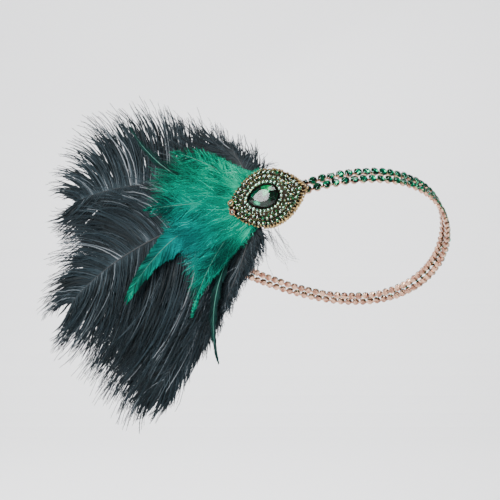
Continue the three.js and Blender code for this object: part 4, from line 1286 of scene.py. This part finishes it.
# %% [markdown]
# ## Finishes of the feathers
# Dyed barbs take the colour unevenly: some are nearly black at the root and pale where they are thin.
# Each barb's own tone picks a colour from a ramp, a slow drift over the fan shifts it, and the hue
# number turns the lower part of the green from emerald to teal. Dyed down is matt, so it hardly shines.


# %% Finishes of the feathers
def barb_finish(name, ramps, roughness, specular, drifting=0.45):
    """Colour by each barb's own tone, with a slow drift over the fan. A second ramp is mixed in by
    the barb's own hue number"""
    material, tree, principled = shader(name, Roughness=roughness, Specular_IOR_Level=specular)
    tone = add_node(tree, "ShaderNodeAttribute", attribute_name="tone")
    middle = maths(tree, "SUBTRACT", noise(tree, 55.0), 0.5)
    total = maths(tree, "MULTIPLY_ADD", middle, drifting, tone.outputs["Fac"])
    colours = []
    for ramp in ramps:
        node = add_node(tree, "ShaderNodeValToRGB", {"Fac": total})
        stops = node.color_ramp.elements
        while len(stops) < len(ramp):
            stops.new(0.5)
        for stop, (position, colour) in zip(stops, ramp):
            stop.position, stop.color = position, (*colour, 1)
        colours.append(node.outputs[0])
    if len(colours) == 2:
        hue = add_node(tree, "ShaderNodeAttribute", attribute_name="hue")
        colours = [blend(tree, hue.outputs["Fac"], *colours)]
    feed(principled, Base_Color=colours[0])
    return material


black_barbs = barb_finish("black_barbs", [[
    (0.0, (0.002, 0.004, 0.005)), (0.4, (0.004, 0.009, 0.012)), (0.68, (0.012, 0.022, 0.028)),
    (0.86, (0.070, 0.084, 0.094)), (1.0, (0.16, 0.175, 0.19))]], 0.55, 0.12)
green_barbs = barb_finish("green_barbs", [
    [(0.0, (0.0, 0.018, 0.012)), (0.25, (0.0, 0.08, 0.046)), (0.5, (0.0, 0.25, 0.135)),
     (0.75, (0.0, 0.40, 0.22)), (0.93, (0.04, 0.48, 0.31)), (1.0, (0.20, 0.64, 0.48))],
    [(0.0, (0.0, 0.014, 0.014)), (0.3, (0.0, 0.050, 0.048)), (0.55, (0.0, 0.115, 0.108)),
     (0.78, (0.0, 0.21, 0.19)), (0.93, (0.03, 0.36, 0.32)), (1.0, (0.22, 0.60, 0.53))]], 0.65, 0.03,
    0.85)
black_quill = barb_finish("black_quill", [
    [(0.0, (0.004, 0.005, 0.006)), (1.0, (0.016, 0.018, 0.02))]], 0.5, 0.2)
spear_barbs = barb_finish("spear_barbs", [
    [(0.0, (0.0, 0.006, 0.006)), (0.5, (0.002, 0.028, 0.022)), (1.0, (0.01, 0.10, 0.08))]], 0.55, 0.06, 0.3)
green_quill = barb_finish("green_quill", [
    [(0.0, (0.002, 0.03, 0.02)), (1.0, (0.01, 0.12, 0.08))]], 0.4, 0.3)
print("feather finishes ready")

# %% Grow every feather
TEAL_PLACE, TEAL_SIZE = np.array([-52.0, -28.0]), 34.0
# Places painted darker: painted shade in the gaps between the tufts of down, and where the green fades into
# the black at its left edge. One place is painted lighter. x, y, size in millimetres, how much darker
SHADE_AND_FADE_SPOTS = [(-25, -36, 9, 0.46), (-24, -27, 6, 0.2), (-49, -24, 7, 0.2), (-71, 2, 13, 0.36),
           (-63, 22, 9, 0.26), (-42, -53, 9, 0.16), (-36, 18, 14, 0.18), (-13, -20, 5, -0.3)]
FILAMENT_RADIUS, WISP_RADIUS, WISP_FLUFF = 0.115, 0.13, 1.3
QUILL_RADIUS = {"black_feather": 0.8, "green_feather": 0.45}
for number, row in enumerate(FEATHERS):
    slot = "green_feather" if row["kind"] is HACKLE else "black_feather"
    downy = row["name"] in DOWN
    edge = FAN_EDGE if slot == "black_feather" else GREEN_EDGE if downy else None
    chance = np.random.default_rng(20 + number)
    t = np.linspace(0, 1, BARB_STEPS + 1)
    strands = []  # lines, their tones, their radii and the length of their barbules
    for style in (STYLES[label] for label in BLADES.get(row["name"]) or SORTS[row["name"].split("_")[0]]):
        # A ribbon keeps its width nearly to its end, and a barb thins evenly
        narrowing = 0.93 * t ** 3 if style["radius"] > RIBBON else 0.5 * t
        strands.append((*barb_lines(row, style, edge, chance), style["radius"] * (1 - narrowing),
                        style["fluff"] * np.clip(8 * t, 0, 1) * (1 - 0.3 * t)))
    if downy:
        strands.append((*down_lines(row, chance), FILAMENT_RADIUS * (1 - 0.6 * t), 0.0))
    if row["name"] in WISPS:
        strands.append((*wisp_lines(row, chance), WISP_RADIUS * (1 - 0.6 * t), WISP_FLUFF))
    lines, tones = (np.concatenate([strand[k] for strand in strands]) for k in (0, 1))
    radii, fluff = (np.concatenate([np.broadcast_to(strand[k], strand[0].shape[:2]) for strand in strands])
                    for k in (2, 3))
    tones = tones[:, None]
    teal = np.exp(-((lines[..., :2] - TEAL_PLACE) ** 2).sum(-1) / TEAL_SIZE ** 2)
    # Painted shade between the tufts of down, and the darker fade at the green's left edge
    for x, y, size, darker in SHADE_AND_FADE_SPOTS if downy else []:
        tones = tones - darker * np.exp(-((lines[..., :2] - (x, y)) ** 2).sum(-1) / size ** 2)
    mesh = lines_mesh(row["name"], lines, radii * MM, fluff=fluff * MM, tone=tones, hue=teal)
    spear = "spear" in row["name"]
    finish, quill_finish = ((black_barbs, black_quill) if slot == "black_feather" else
                            (spear_barbs if spear else green_barbs, green_quill))
    barbs = run_tree(row["name"] + "_barbs", mesh, STRANDS, {"Seed": 40 + number, "Finish": finish})
    # The quill widens over its first eighth and then thins to its tip
    share = np.linspace(0, 1, 33)
    point, _ = quill_line(row, share)
    line = np.concatenate([point, fan_height(point, row["layer"])[0][:, None]], -1)[None]
    thick = QUILL_RADIUS[slot] * np.minimum(0.5 + 4 * share, 1) * (1 - 0.8 * share)
    quill_mesh = lines_mesh(row["name"] + "_quill", line, thick[None] * MM, fluff=0.0, tone=0.5, hue=0.0)
    quill = run_tree(row["name"] + "_quill", quill_mesh, STRANDS, {
        "Sides": 8, "Flatness": 1.0, "Finish": quill_finish})
    for piece in (barbs, quill):
        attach(piece, "root")
    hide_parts(row["name"])
    print(row["name"], "barbs:", len(lines), "triangles:", triangles(barbs))
